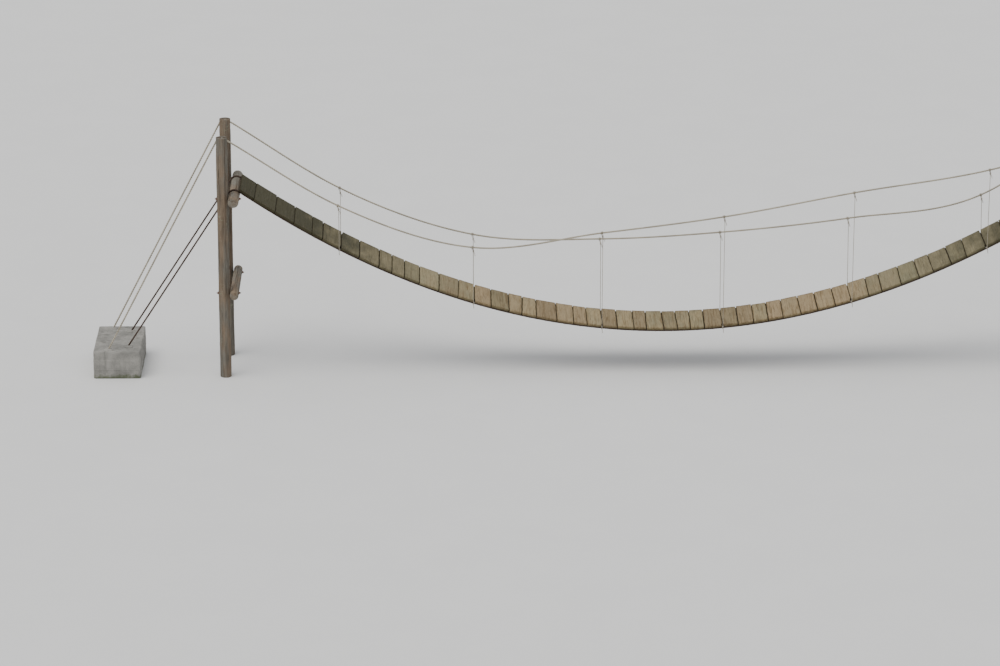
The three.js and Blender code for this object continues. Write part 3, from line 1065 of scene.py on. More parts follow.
@dataclass(frozen=True)
class BoardShape:
    """One deck board: where it lies, and its own unevenness, as draws from -1 to 1.

    A place on it is (a, y, h): a along the bridge from the board's middle, y across the
    bridge, and h over the middle of its thickness.
    """

    index: int
    middle: Array
    direction: Array
    width: float
    seams: tuple[Seam, Seam]
    draws: dict[str, float]
    cup_height: float = 0.0022
    worn_depth: float = 0.0012
    worn_spread: float = 0.0008
    worn_reach: float = 0.17
    waves: Waves = Waves(0.0007, 0.16, 40)
    wave_squeeze: float = 2.5
    drop: float = 0.001

    @classmethod
    def laid(cls, index: int, line: DeckLine, rise: float) -> "BoardShape":
        """A board between two seams.

        Args:
            index: the board's number from the left.
            line: the deck's line.
            rise: the height of its middle over the cable's.

        Returns:
            The board.
        """
        start, end = line.corners[index], line.corners[index + 1]
        direction = unit(end - start)
        draw = np.random.default_rng(Seed.BOARD + index)
        draws = {name: float(draw.uniform(-1, 1)) for name in (
            "near_end", "far_end", "near_slant", "far_slant", "cup", "wear", "bite", "bite_place", "tone",
            "pith", "pith_depth", "shift")}
        middle = (start + end) / 2 + np.array([-direction[1], direction[0]]) * rise
        seams = tuple(Seam(place, line.board_count, place in line.tie_seams) for place in (index, index + 1))
        return cls(index, middle, direction, float(np.linalg.norm(end - start)), seams, draws)

    def lift(self, a: Array, y: Array) -> Array:
        """How far the top stands over its flat place: cupping, a worn middle and small waves.

        Args:
            a: places along the bridge.
            y: places across it.

        Returns:
            The heights.
        """
        cup = self.cup_height * self.draws["cup"]
        worn = self.worn_depth + self.worn_spread * self.draws["wear"]
        waves = self.waves.at(np.stack([a * self.wave_squeeze, y], axis=-1), self.index)
        return (cup * (2 * a / self.width) ** 2 - min(cup, 0) - worn * np.exp(-(y / self.worn_reach) ** 2)
                + waves - self.drop)

    def place(self, a: Array, y: Array, h: Array) -> Array:
        """Points of the model's frame for places (a, y, h) on the board."""
        (x, z), (along, up) = self.middle, self.direction
        return np.stack([x + a * along - h * up, y, z + a * up + h * along], axis=-1)

    @property
    def axes(self) -> Array:
        """The board's own axes as columns: along the bridge, across it, and up from its face."""
        along, up = self.direction
        return np.array([[along, 0, -up], [0, 1, 0], [up, 0, along]])


@dataclass
class Deck:
    """The boards and the runner strips under them, one piece for each bay."""

    line: DeckLine
    material: Material
    board_length: float = 0.800
    board_thickness: float = 0.040
    over_cable: float = 0.0133
    runner_offset: float = 0.250
    runner_width: float = 0.060
    runner_thickness: float = 0.025
    runner_setback: float = 0.030
    runner_step: float = 0.035
    runner_squareness: float = 0.16
    runner_sides: int = 24
    runner_taper: float = 0.03
    runner_waves: Waves = Waves(0.02, 0.1, 500)
    runner_grain: Triple = (3.1, 0.4, 0.06)
    rows: int = 32
    top_spans: int = 10
    under_spans: int = 5
    checks: int = 3
    check_half: Pair = (0.0009, 0.0018)
    check_depth: Pair = (0.004, 0.011)
    check_start: Pair = (0.35, 0.75)
    check_middle: Pair = (-0.5, 0.5)
    check_spread: Pair = (0.15, 0.35)
    check_waves: Waves = Waves(0.0035, 0.5, 900)
    check_seeds: int = 10
    lip_share: float = 0.001
    crack_depth: float = 0.003
    chamfer: float = 0.003
    chamfer_points: int = 3
    worn_points: int = 5
    worn_corner: float = 0.0085
    worn_steepness: float = 1.5
    worn_waves: Waves = Waves(0.30, 0.2, 260)
    end_zone: float = 0.7
    end_shift: float = 0.002
    near_spread: float = 0.011
    far_spread: float = 0.013
    end_slant: float = 0.005
    bite_depth: float = 0.030
    bite_width: float = 0.022
    bite_spread: float = 0.4
    bite_from: float = 0.25
    # Painted shade, with some grime: on the worn corners, the underside and the end faces.
    corner_dirt: Pair = (0.06, 0.45)
    under_dirt: float = 0.75
    end_dirt: Pair = (0.42, 20.0)
    grain_shift: float = 7.0
    pith_aside: float = 0.10
    pith_below: Pair = (0.085, 0.05)
    end_edge: float = 0.05
    rim_edge: Pair = (0.026, 0.006)
    rim_share: float = 0.8

    @cached_property
    def boards(self) -> list[BoardShape]:
        """Every board from left to right."""
        rise = self.over_cable + self.board_thickness / 2
        return [BoardShape.laid(index, self.line, rise) for index in range(self.line.board_count)]

    def top_columns(self, board: BoardShape, y: Array, width: Array) -> list[Array]:
        """Where the top's columns lie across the board's width, and how deep each is cut.

        Columns lie at even shares of the width. A check, which is a drying crack, adds three
        in one of the spaces between them: two lips and a bottom, which wander along the board.
        The first two checks deepen towards an end, and the last one in the middle.

        Args:
            board: the board.
            y: place across the bridge of each row, from -1 to 1.
            width: the board's width at each row.

        Returns:
            Shares of the width from right to left, and depths, both (rows, columns).
        """
        draw = np.random.default_rng(Seed.CHECKS + board.index)
        columns = [(share, share + 0 * y, 0 * y) for share in np.arange(1, self.top_spans) / self.top_spans]
        for check, space in enumerate(draw.choice(self.top_spans, self.checks, replace=False)):
            centre = (space + 0.5) / self.top_spans
            wander = self.check_waves.at(y * self.board_length / 2, self.check_seeds * board.index + check)
            half = draw.uniform(*self.check_half)
            if check == self.checks - 1:
                middle, spread = draw.uniform(*self.check_middle), draw.uniform(*self.check_spread)
                reach = np.exp(-((y - middle) / spread) ** 2)
            else:
                reach = ease(y * (1 if check else -1), draw.uniform(*self.check_start), 1.0)
            depth = draw.uniform(*self.check_depth) * reach
            columns += [(centre + self.lip_share * part, centre + (wander + part * half) / width,
                         depth * (part == 0)) for part in (-1, 0, 1)]
        columns.sort(key=lambda column: -column[0])
        return [np.stack([column[place] for column in columns], axis=1) for place in (1, 2)]

    def corner(self, side: Array, level: Array, reach: Array | float, depth: Array | float, start: int,
               count: int) -> tuple[Array, Array, Array, float]:
        """A round corner: (side - s reach (1 - cos t), level - q depth (1 - sin t)) for signs s and q.

        Args:
            side: where the board's edge is at each row, (rows, 1).
            level: where its top or underside is, (rows, 1).
            reach: how far in the corner starts.
            depth: how far down it ends.
            start: the angle of its first point, in quarter turns.
            count: how many points it has.

        Returns:
            Its places along the bridge, heights, painted shade with some grime, and cracks, (rows, points)
            each.
        """
        wide, high = circle((start + np.linspace(0, 1, count)) * math.pi / 2).T
        a = side + reach * (wide - np.sign(wide[count // 2]))
        h = level + depth * (high - np.sign(high[count // 2]))
        # Painted shade that darkens the top corners towards the side, and is full on the lower corners.
        return a, h, np.where(high > 0, ease(1 - high, *self.corner_dirt), 1.0), 0.0

    def board_surface(self, board: BoardShape) -> Surface:
        """One board as a closed surface.

        The outline at each place y runs round from the lower left: a round corner, the
        underside, a round corner, a side, a worn corner, the top with its checks, a worn
        corner and a side. Its edges stand where the two seams say. The rings run from the
        near end to the far one, closer together towards the ends, and the first and last
        are drawn in.

        Args:
            board: the board.

        Returns:
            Its surface, with the marks grain, tone, edge, crack, the painted shade with some grime, and
            sawn.
        """
        d, half, thick = board.draws, self.board_length / 2, self.board_thickness / 2
        inner = np.linspace(-1, 1, self.rows - 2)
        inner = (inner + np.sin(inner * math.pi / 2)) / 2
        y = np.concatenate([[-half], inner * (half - self.chamfer), [half]])
        share = y / half
        sawn = at_ends(self.rows)[:, None]
        inset = self.chamfer * sawn
        left = board.seams[0].edge(y, 1)[:, None] - board.width / 2 + inset
        right = board.seams[1].edge(y, -1)[:, None] + board.width / 2 - inset
        near, far = (ease(side.value * share, self.end_zone, 1.0) for side in Side)
        y = (y - near * (self.end_shift + self.near_spread * d["near_end"])
             + far * (self.end_shift + self.far_spread * d["far_end"]))
        worn = self.worn_corner * (1 + self.worn_waves.at(y, board.index))[:, None]
        worn_depth = self.worn_steepness * worn
        top, bottom, kept = thick - inset, inset - thick, self.chamfer
        under = np.linspace(0, 1, self.under_spans + 1)[1:-1]
        high_width = right - left - 2 * worn
        shares, cut = self.top_columns(board, share, high_width[:, 0])
        cut[[0, -1]] = 0.0
        flat = 0 * left
        # The third value of each part is painted shade with some grime: full on the sides, most of it on the
        # underside, none on the top.
        columns = [
            self.corner(left, bottom, kept, kept, 2, self.chamfer_points),
            (left + kept + (right - left - 2 * kept) * under, bottom, self.under_dirt, 0.0),
            self.corner(right, bottom, kept, kept, 3, self.chamfer_points),
            (right, flat, 1.0, 0.0),
            self.corner(right, top, worn, worn_depth, 0, self.worn_points),
            (left + worn + high_width * shares, top - cut, 0.0, np.clip(cut / self.crack_depth, 0, 1)),
            self.corner(left, top, worn, worn_depth, 1, self.worn_points),
            (left, flat, 1.0, 0.0),
        ]
        a, h, dirt, crack = (
            np.concatenate([np.broadcast_to(column[kind], column[0].shape) for column in columns], axis=1)
            for kind in range(4))
        # Painted shade on the end faces, darker towards their lower edge.
        middle_shade, shade_fall = self.end_dirt
        dirt[[0, -1]] = np.clip(middle_shade - shade_fall * h[[0, -1]], 0, 1)
        near, far = near[:, None], far[:, None]
        slant = self.end_slant * (near * d["near_slant"] + far * d["far_slant"])
        bite_at = (a - self.bite_spread * d["bite_place"] * board.width) / self.bite_width
        bite = max(0.0, d["bite"] - self.bite_from) * self.bite_depth * np.exp(-bite_at ** 2)
        across = y[:, None] + slant * 2 * a / board.width + near ** 3 * bite
        h = h + board.lift(a, across) * np.clip(h / self.board_thickness + 0.5, 0, 1)
        pith_depth, pith_spread = self.pith_below
        grain = np.stack([across + self.grain_shift * d["shift"], a + self.pith_aside * d["pith"],
                          h + pith_depth + pith_spread * d["pith_depth"]], axis=-1)
        # The edge mark: near the ends and long edges, where the finish lays darker brown, partly painted
        # shade at the seams.
        end = ease(np.abs(across), half - self.end_edge, half)
        rim = ease(np.abs(a), *(board.width / 2 - inwards for inwards in self.rim_edge))
        return Surface.from_rings(
            board.place(a, across, h), y, grain=grain, tone=0.5 + 0.5 * d["tone"],
            edge=np.clip(end + self.rim_share * rim, 0, 1), crack=crack, dirt=dirt, sawn=sawn)

    def runner_surface(self, bay: int, y: float) -> Surface:
        """A thin strip under one bay's boards: a rounded rectangle carried along the deck's line.

        Its outline is reach |cos a|^q and reach |sin a|^q with their signs, for a small q.

        Args:
            bay: the bay's number from the left, from nought.
            y: the strip's place across the bridge.

        Returns:
            Its surface, with the boards' marks.
        """
        first = bay * self.line.boards_per_bay
        seams = self.line.corners[first:first + self.line.boards_per_bay + 1].copy()
        seams[0] += unit(seams[1] - seams[0]) * self.runner_setback
        seams[-1] -= unit(seams[-1] - seams[-2]) * self.runner_setback
        path, along = spaced(np.insert(seams, 1, y, axis=1), self.runner_step)
        wave = circle(round_angles(self.runner_sides) + TAU / (2 * self.runner_sides))
        reach = np.array([self.runner_thickness, self.runner_width]) / 2
        outline = reach * np.sign(wave) * np.abs(wave) ** self.runner_squareness
        grid = np.stack(np.meshgrid(along, outline[:, 1], indexing="ij"), axis=-1)
        uneven = 1 + self.runner_waves.at(grid, bay) - self.runner_taper * at_ends(len(along))[:, None]
        below = np.array([self.over_cable - self.runner_thickness / 2, 0.0])
        rings = carried(path, outline * uneven[..., None] + below)
        shift, aside, depth = self.runner_grain
        grain = np.stack(np.broadcast_arrays(along[:, None] + bay * shift, outline[:, 1] + aside,
                                             outline[:, 0] + depth), axis=-1)
        # The strips under the boards carry painted shade over most of them.
        return Surface.from_rings(rings, along, grain=grain, tone=0.35, edge=0.5, crack=0.0, dirt=0.7,
                                  sawn=0.0)

    def build(self) -> None:
        """Builds and dresses every bay."""
        count = self.line.boards_per_bay
        for bay in range(self.line.board_count // count):
            parts = [self.board_surface(board) for board in self.boards[bay * count:(bay + 1) * count]]
            parts += [self.runner_surface(bay, side.value * self.runner_offset) for side in Side]
            seat(f"boards_{bay + 1:02d}", Surface.joined(parts), self.material,
                 f"deck_bay_{bay + 1:02d}")


@dataclass
class SeamSoil:
    """A near-black strip in each gap between the boards: painted shade, shaped as packed leaf soil."""

    deck: Deck
    material: Material
    top_depth: float = 0.0135
    foot: float = 0.003
    bite: float = 0.0004
    rows: int = 44
    end_reach: float = 0.384
    notched_reach: float = 0.322
    ragged: float = 0.006
    end_dip: float = 0.004
    waves: Waves = Waves(0.0032, 0.11, 1600)
    crumbs: Waves = Waves(0.0014, 0.03, 1700)
    foot_waves: Waves = Waves(0.001, 0.05, 1800)
    crown: Waves = Waves(0.0011, 0.02, 1900)
    crown_shares: Pair = (0.3, 0.7)

    def strip(self, index: int) -> Surface:
        """The dark fill in one gap.

        Ring y runs from the left board's edge over an uneven top to the right board's edge,
        down it, and back along the bottom. It bites into both boards by a hair.

        Args:
            index: the seam's number from the left.

        Returns:
            The closed surface.
        """
        left, right = self.deck.boards[index - 1], self.deck.boards[index]
        seam = right.seams[0]
        draw = np.random.default_rng(Seed.SOIL + index)
        reach = self.notched_reach if seam.notched else self.end_reach
        near, far = draw.uniform(0, self.ragged, 2)
        y = np.linspace(-reach + near, reach - far, self.rows)
        half_thickness = self.deck.board_thickness / 2
        top = (half_thickness - self.top_depth + self.waves.at(y, index) + self.crumbs.at(y, index)
               - self.end_dip * at_ends(self.rows))
        bottom = self.foot - half_thickness + self.foot_waves.at(y, index)
        left_edge = left.width / 2 + seam.edge(y, -1) - self.bite
        right_edge = seam.edge(y, 1) - right.width / 2 + self.bite
        a, d = (left.place(left_edge, y, h) for h in (top, bottom))
        b, c = (right.place(right_edge, y, h) for h in (top, bottom))
        crown = left.axes[:, 2] * self.crown.at(y, index)[:, None]
        first, second = (a + share * (b - a) for share in self.crown_shares)
        rings = [a, first + crown, second - crown, b, c, (c + d) / 2, d]
        return Surface.from_rings(np.stack(rings, axis=1), y)

    def build(self) -> None:
        """Builds and dresses the dark fill in every gap: painted shade."""
        strips = [self.strip(index) for index in range(1, self.deck.line.board_count)]
        seat("seam_soil", Surface.joined(strips), self.material)


def turned_solid(profile: Profile, radius: float, sides: int) -> Surface:
    """A body turned about +Z: ring i is (r s_i cos a, r s_i sin a, z_i).

    Args:
        profile: each ring's share s of the radius, and its height z.
        radius: the radius r.
        sides: how many corners each ring has.

    Returns:
        The closed surface.
    """
    share, height = np.array(profile).T
    rings = radius * share[:, None, None] * circle(round_angles(sides))
    level = np.broadcast_to(height[:, None, None], (len(height), sides, 1))
    return Surface.from_rings(np.concatenate([rings, level], axis=-1), height)


@dataclass
class BoardFixings:
    """The nails into the runner strips, and wire that lashes every board to both deck cables."""

    deck: Deck
    material: Material
    cable_offset: float
    cable_radius: float = 0.0132
    nail_radius: float = 0.0045
    nail_sides: int = 9
    nail_profile: Profile = ((0.8, -0.002), (1.0, 0.0003), (0.75, 0.0012), (0.3, 0.0016))
    nail_place: float = 0.26
    nail_stray: float = 0.012
    wire_radius: float = 0.0017
    wire_clearance: float = 0.0004
    wire_pitch: float = 0.0044
    wire_sides: int = 5
    wire_standing: float = 0.6
    wire_end: float = 0.001
    wire_point_step: float = 0.01
    lashing_stray: float = 0.02
    shoulder: float = 0.005

    def nails(self) -> Surface:
        """Four nail heads on each board, a low dome each.

        Returns:
            All the heads.
        """
        stray = self.nail_stray
        head = turned_solid(self.nail_profile, self.nail_radius, self.nail_sides)
        frames, places = [], []
        for board in self.deck.boards:
            draw = np.random.default_rng(Seed.NAILS + board.index)
            a = self.nail_place * np.array([-1, 1, -1, 1]) * board.width + draw.uniform(-stray, stray, 4)
            y = self.deck.runner_offset * np.array([-1, -1, 1, 1]) + draw.uniform(-stray, stray, 4)
            places.append(board.place(a, y, self.deck.board_thickness / 2 + board.lift(a, y)))
            frames += [board.axes] * 4
        return head.copied(frames, np.concatenate(places))

    def lashing(self) -> Surface:
        """Two turns of wire: a half circle under the cable, up through the board, and across its top.

        Heights are over the board's top, along its own axes. The wire's shoulders are
        quarter circles.

        Returns:
            Both turns.
        """
        reach = self.cable_radius + self.wire_radius + self.wire_clearance
        depth = self.deck.over_cable + self.deck.board_thickness
        quarter, bow = np.linspace(0, math.pi / 2, 3), np.linspace(0, -math.pi, 7)
        side, rise = reach - self.shoulder, self.wire_radius * self.wire_standing - self.shoulder
        rounded = circle(quarter)
        flat = np.concatenate([
            [[-self.wire_end, rise + self.shoulder]],
            [side, rise] + self.shoulder * rounded[:, ::-1],
            [0, -depth] + reach * circle(bow),
            [-side, rise] + self.shoulder * rounded * [-1, 1],
            [[self.wire_end, rise + self.shoulder]],
        ])
        path = np.insert(flat, 0, 0.0, axis=1)
        rings = carried(path, self.wire_radius * circle(round_angles(self.wire_sides)))
        turn = Surface.from_rings(rings, np.arange(len(path)) * self.wire_point_step)
        half = self.wire_pitch / 2
        return turn.copied([np.eye(3)] * 2, np.array([[-half, 0, 0], [half, 0, 0]]))

    def lashings(self, side: Side) -> Surface:
        """A lashing on every board along one side.

        Args:
            side: which side.

        Returns:
            All its lashings.
        """
        y = np.array([side.value * self.cable_offset])
        places = []
        for board in self.deck.boards:
            draw = np.random.default_rng(Seed.LASHING + board.index)
            a = draw.uniform(-self.lashing_stray, self.lashing_stray, 1)
            places.append(board.place(a, y, self.deck.board_thickness / 2 + board.lift(a, y)))
        return self.lashing().copied([board.axes for board in self.deck.boards], np.concatenate(places))

    def build(self) -> None:
        """Builds and dresses the nails and lashings."""
        seat("board_nails", self.nails(), self.material)
        for side in Side:
            seat(f"wire_lashings_{side.label}", self.lashings(side), self.material)


@dataclass
class DeckCables:
    """The two wire ropes that carry the deck, from anchor to anchor over the sills."""

    line: DeckLine
    stand: Stand
    material: Material
    offset: float
    rope: LaidLine = LaidLine(radius=0.0132, strands=6, points_per_strand=5, lay=0.180, step=0.0175,
                              valley=0.80, slack=Waves(0.004, 0.35))
    route_points: int = 401

    def route(self, side: Side) -> Array:
        """One cable's route.

        Args:
            side: which cable.

        Returns:
            The route's points.
        """
        end = self.stand.sill_bend.outwards(math.atan(self.line.bend * self.line.half_span))
        x = np.linspace(-self.line.half_span, self.line.half_span, self.route_points)
        return whole_route(end, x, self.line.height(x), end, side.value * self.offset)

    def build(self) -> None:
        """Builds and dresses both cables."""
        for side in Side:
            seat(f"wire_rope_{side.label}", self.rope.surface(self.route(side), Seed.CABLE), self.material,
                 f"deck_cable_{side.label}", crease=STRAND_CREASE)


@dataclass(frozen=True)
class RopeProfile:
    """A hand rope's height: a cubic through its ties and the tops of both posts."""

    places: tuple[float, ...]
    heights: tuple[float, ...]
    bend: Bend

    @cached_property
    def climbs(self) -> list[float]:
        """The angles at which the rope climbs from its outer ties to the left and right saddles."""
        (x, z), radius = self.bend.centre, self.bend.radius
        return [math.atan2(z + radius - self.heights[tie], x - abs(self.places[tie])) for tie in (0, -1)]

    @cached_property
    def knots(self) -> Array:
        """Where the rope leaves each saddle, and its ties between, as (x, z).

        Returns:
            The places from left to right.
        """
        (x, z), radius = self.bend.centre, self.bend.radius
        ends = [[sign * (x - radius * math.sin(climb)), z + radius * math.cos(climb)]
                for sign, climb in zip((-1, 1), self.climbs)]
        return np.array([ends[0], *zip(self.places, self.heights), ends[1]])

    @cached_property
    def slopes(self) -> Array:
        """The slope at each knot: the two neighbouring slopes, each weighed by the other's gap.

        Returns:
            One slope for each knot.
        """
        gap, rise = np.diff(self.knots, axis=0).T
        slope = rise / gap
        inner = (slope[:-1] * gap[1:] + slope[1:] * gap[:-1]) / (gap[:-1] + gap[1:])
        return np.concatenate([[-math.tan(self.climbs[0])], inner, [math.tan(self.climbs[1])]])

    def height(self, x: Array) -> Array:
        """The cubic with those heights and slopes at the knots.

        Args:
            x: places along the bridge.

        Returns:
            The rope's height at each.
        """
        knot = np.clip(np.searchsorted(self.knots[:, 0], x, side="right") - 1, 0, len(self.knots) - 2)
        (start, low), (end, high) = self.knots[knot].T, self.knots[knot + 1].T
        reach = end - start
        t = (x - start) / reach
        step = t * t * (3 - 2 * t)
        out, back = t * (1 - t) ** 2 * reach, t * t * (t - 1) * reach
        return low + step * (high - low) + out * self.slopes[knot] + back * self.slopes[knot + 1]


# How high each hand rope hangs at its ties, from left to right
TIE_HEIGHTS = {Side.NEAR: (2.640, 1.995, 2.215, 2.460, 2.825, 3.170),
               Side.FAR: (2.610, 1.885, 1.810, 1.910, 2.125, 2.490)}


@dataclass
class HandRopes:
    """The two hand ropes, from anchor to anchor over the posts."""

    profiles: dict[Side, RopeProfile]
    material: Material
    offset: float
    rope: LaidLine = LaidLine(radius=0.0142, strands=3, points_per_strand=7, lay=0.100, step=0.0105,
                              valley=0.64)
    route_points: int = 601

    def route(self, side: Side) -> Array:
        """One hand rope's route.

        Args:
            side: which rope.

        Returns:
            The route's points.
        """
        profile = self.profiles[side]
        left, right = (profile.bend.outwards(climb) for climb in profile.climbs)
        x = np.linspace(profile.knots[0, 0], profile.knots[-1, 0], self.route_points)
        return whole_route(left, x, profile.height(x), right, side.value * self.offset)

    def build(self) -> None:
        """Builds and dresses both ropes."""
        for side in Side:
            surface = self.rope.surface(self.route(side), Seed.HAND_ROPE + side.value)
            seat(f"laid_rope_{side.label}", surface, self.material, f"hand_rope_{side.label}",
                 crease=STRAND_CREASE)


@dataclass
class Ties:
    """The cords from the hand ropes down to the deck cables, hitched at the top and wrapped below.

    The tails' steps are places (x, outwards, z) from where the cord ends its turns.
    """

    line: DeckLine
    profiles: dict[Side, RopeProfile]
    material: Material
    rope_offset: float
    cable_offset: float
    rope_radius: float = 0.014
    cable_radius: float = 0.013
    knee_offset: float = 0.412
    rope_turns: float = 2.5
    hitch_turns: float = 2.25
    hitch_start: float = 0.5
    hitch_reach: Pair = (0.078, 0.052)
    cable_turns: float = 2.0
    rise_drop: float = 0.012
    drop_step: float = 0.02
    mean_step: float = 0.002
    mean_width: int = 5
    upper_tail: tuple[Triple, ...] = ((0.016, 0.030, -0.055), (0.010, 0.022, -0.020))
    lower_tail: tuple[Triple, ...] = ((0.002, 0.012, -0.016), (0.004, 0.017, -0.060))
    cord: LaidLine = LaidLine(radius=0.005, strands=3, points_per_strand=4, lay=0.036, step=0.0055,
                              valley=0.70, slack=Waves(0.03, 0.35))

    def route(self, side: Side, index: int) -> Array:
        """A tie's route: its tail, the hitch, the turns over the rope, the drop, and the turns below.

        Args:
            side: which rope it hangs from.
            index: its number from the left, from nought.

        Returns:
            The rounded route.
        """
        profile, thick = self.profiles[side], self.cord.radius
        x = profile.places[index]
        outwards = np.array([1.0, side.value, 1.0])
        right, out = np.array([1.0, 0.0, 0.0]), np.array([0.0, side.value, 0.0])
        rope_axis, cable_axis = (unit(np.array([1.0, 0.0, slope]))
                                 for slope in (profile.slopes[index + 1], self.line.bend * x))
        rope_up, cable_up = (np.array([-axis[2], 0.0, axis[0]]) for axis in (rope_axis, cable_axis))
        rope_middle = np.array([x, side.value * self.rope_offset, profile.heights[index]])
        cable_middle = np.array([x, side.value * self.cable_offset, self.line.height(x)])
        rope_reach, cable_reach = self.rope_radius + thick, self.cable_radius + thick
        leave = rope_middle - rope_reach * out
        knee = np.array([x, side.value * self.knee_offset, self.line.height(x)])
        drop = unit(knee - leave)
        hitch_end = self.hitch_start + TAU * self.hitch_turns
        hitch = helix(leave, (right, np.cross(drop, right), drop), 2 * thick, (self.hitch_start, hitch_end),
                      self.hitch_reach)
        spread = 2 * thick * self.rope_turns
        over = helix(rope_middle, (out, rope_up, rope_axis), rope_reach, (0.0, TAU * self.rope_turns),
                     (-spread, 0.0))
        rise = rope_middle + rope_reach * out - spread * rope_axis - self.rise_drop * rope_up
        touch = math.acos(cable_reach / (self.knee_offset - self.cable_offset))
        under = helix(cable_middle, (out, cable_up, cable_axis), cable_reach,
                      (-touch, -touch - TAU * self.cable_turns), (-thick, thick))
        fall, _ = spaced(np.stack([leave, knee]), self.drop_step)
        parts = [hitch[0] + outwards * self.upper_tail, hitch, rise[None], over, fall[1:], under,
                 under[-1] + outwards * self.lower_tail]
        return softened(np.concatenate(parts), self.mean_step, self.mean_width)

    def build(self) -> None:
        """Builds and dresses every tie."""
        for side in Side:
            for index in range(len(self.profiles[side].places)):
                surface = self.cord.surface(self.route(side, index), Seed.TIE + index)
                place = f"{side.label}_{index + 1}"
                seat(f"tie_cord_{place}", surface, self.material, f"rope_tie_{place}",
                     crease=STRAND_CREASE)


@dataclass(frozen=True)
class LogShape:
    """A peeled log: rings of radius R (1 + waves) + knots - checks, along a straight axis.

    The grid's columns lean with the grain, so that a drying crack, called a check, follows
    three of them: two lips and a bottom.
    """

    start: Array
    end: Array
    radius: float
    seed: int
    sides: int = 56
    row_step: float = 0.045
    fewest_rows: int = 8
    knot_count: int = 4
    knot_span: Pair = (0.08, 0.92)
    knot_size: Pair = (0.018, 0.030)
    knot_rows: tuple[float, ...] = (-0.045, -0.03, -0.018, -0.008, 0.0, 0.008, 0.018, 0.03, 0.045)
    knot_shape: Profile = ((0.006, 0.7), (-0.005, 6.0))
    knot_fade: float = 1.6
    check_count: int = 4
    check_half: Pair = (0.0012, 0.0028)
    check_depth: Pair = (0.007, 0.016)
    check_reach: Pair = (0.25, 0.75)
    check_share: float = 0.7
    least_check: float = 0.2
    check_fade: float = 2.0
    check_waves: Waves = Waves(0.3, 0.3, 5)
    crack_depth: float = 0.004
    lean: float = 0.012
    lean_waves: Waves = Waves(0.05, 1.1, 1)
    grain_squeeze: float = 0.35
    waves: Waves = Waves(0.022, 0.16, 2)
    fine_waves: Waves = Waves(0.0009, 0.05, 3)
    fine_squeeze: float = 3.0
    end_waves: Waves = Waves(0.0012, 0.08, 4)
    end_dip: float = 0.7
    chamfer: float = 0.004
    cap_shares: tuple[float, ...] = (0.35, 0.68, 1.0)
    grain_shift: float = 1.7
    pith: Pair = (0.006, -0.004)

    def surface(self) -> Surface:
        """The log as a closed surface, its ends closed by a few smaller rings.

        A knot stands out by the sum of height exp(-fade d^2) over the pairs of its shape,
        where d is the distance from its middle over its size.

        Returns:
            The surface, with the marks grain, tone, crack and knot.
        """
        draw, knots, checks = np.random.default_rng(self.seed), self.knot_count, self.check_count
        length = float(np.linalg.norm(self.end - self.start))
        knot_at = draw.uniform(*self.knot_span, knots) * length
        knot_angle, knot_size = draw.uniform(0, TAU, knots), draw.uniform(*self.knot_size, knots)
        near_knots = (knot_at[:, None] + self.knot_rows).ravel()
        margin = 2 * self.chamfer
        even = np.linspace(self.chamfer, length - self.chamfer,
                           max(self.fewest_rows, round(length / self.row_step)))
        rows = np.concatenate([even, near_knots[(near_knots > margin) & (near_knots < length - margin)]])
        rows = np.sort(rows)[:, None]
        check_at = (draw.choice(self.sides, checks, replace=False) + 0.5) * TAU / self.sides
        half = draw.uniform(*self.check_half, checks) / self.radius
        depth = draw.uniform(*self.check_depth, checks)
        middle = draw.uniform(0.0, 1.0, checks) * length
        reach = draw.uniform(*self.check_reach, checks) * length
        angles = np.concatenate([round_angles(self.sides), check_at - half, check_at, check_at + half])
        wobble = self.check_share + self.check_waves.at(rows, self.seed)[:, None]
        wobble = np.clip(wobble, self.least_check, 1)
        cut = np.zeros((len(rows), len(angles)))
        first = self.sides + checks
        fade = np.exp(-self.check_fade * ((rows - middle) / reach) ** 2)
        cut[:, first:first + checks] = depth * fade * wobble
        order = np.argsort(angles)
        cut = cut[:, order]
        lean = self.lean * rows / self.radius + self.lean_waves.at(rows, self.seed)[:, None]
        turned = angles[order] + lean
        level = np.broadcast_to(rows, turned.shape)
        skin = self.radius * circle(turned)
        place = np.concatenate([self.grain_squeeze * level[..., None], skin], axis=-1)
        body = (self.radius * (1 + self.waves.at(place, self.seed))
                + self.fine_waves.at(place * [1.0, self.fine_squeeze, self.fine_squeeze], self.seed))
        around = self.radius * ((turned[..., None] - knot_angle + math.pi) % TAU - math.pi)
        away = (around ** 2 + (rows[..., None] - knot_at) ** 2) / knot_size ** 2
        body = body + sum(height * np.exp(-fade * away) for height, fade in self.knot_shape).sum(axis=-1)
        knot = np.clip(np.exp(-self.knot_fade * away).sum(axis=-1), 0, 1)
        shrink = np.array(self.cap_shares)[:, None]
        caps = []
        for ring, sign, at in ((0, 1, 0.0), (-1, -1, length)):
            rough = self.end_waves.at(self.fine_squeeze * place[ring] * shrink[..., None], self.seed)
            dip = self.end_dip * cut[ring] * shrink + rough
            caps.append(((body[ring] - self.chamfer) * shrink, np.clip(at + sign * dip, 0, length)))
        extra = ((len(shrink), len(shrink)), (0, 0))
        radius = np.concatenate([caps[0][0], body - cut, caps[1][0][::-1]])
        level = np.concatenate([caps[0][1], level, caps[1][1][::-1]])
        spoke = radius[..., None] * circle(np.pad(turned, extra, mode="edge"))
        along = unit(self.end - self.start)
        aside = unit(np.cross(along, np.eye(3)[np.argmin(np.abs(along))]))
        axes = np.stack([along, aside, np.cross(along, aside)])
        own = np.concatenate([level[..., None], spoke], axis=-1)
        grain = own + [self.seed * self.grain_shift, *self.pith]
        crack = np.pad(np.clip(cut / self.crack_depth, 0, 1), extra, mode="edge")
        return Surface.from_rings(self.start + own @ axes, level.mean(axis=1), grain=grain,
                                  tone=draw.uniform(0, 1), crack=crack, knot=np.pad(knot, extra))


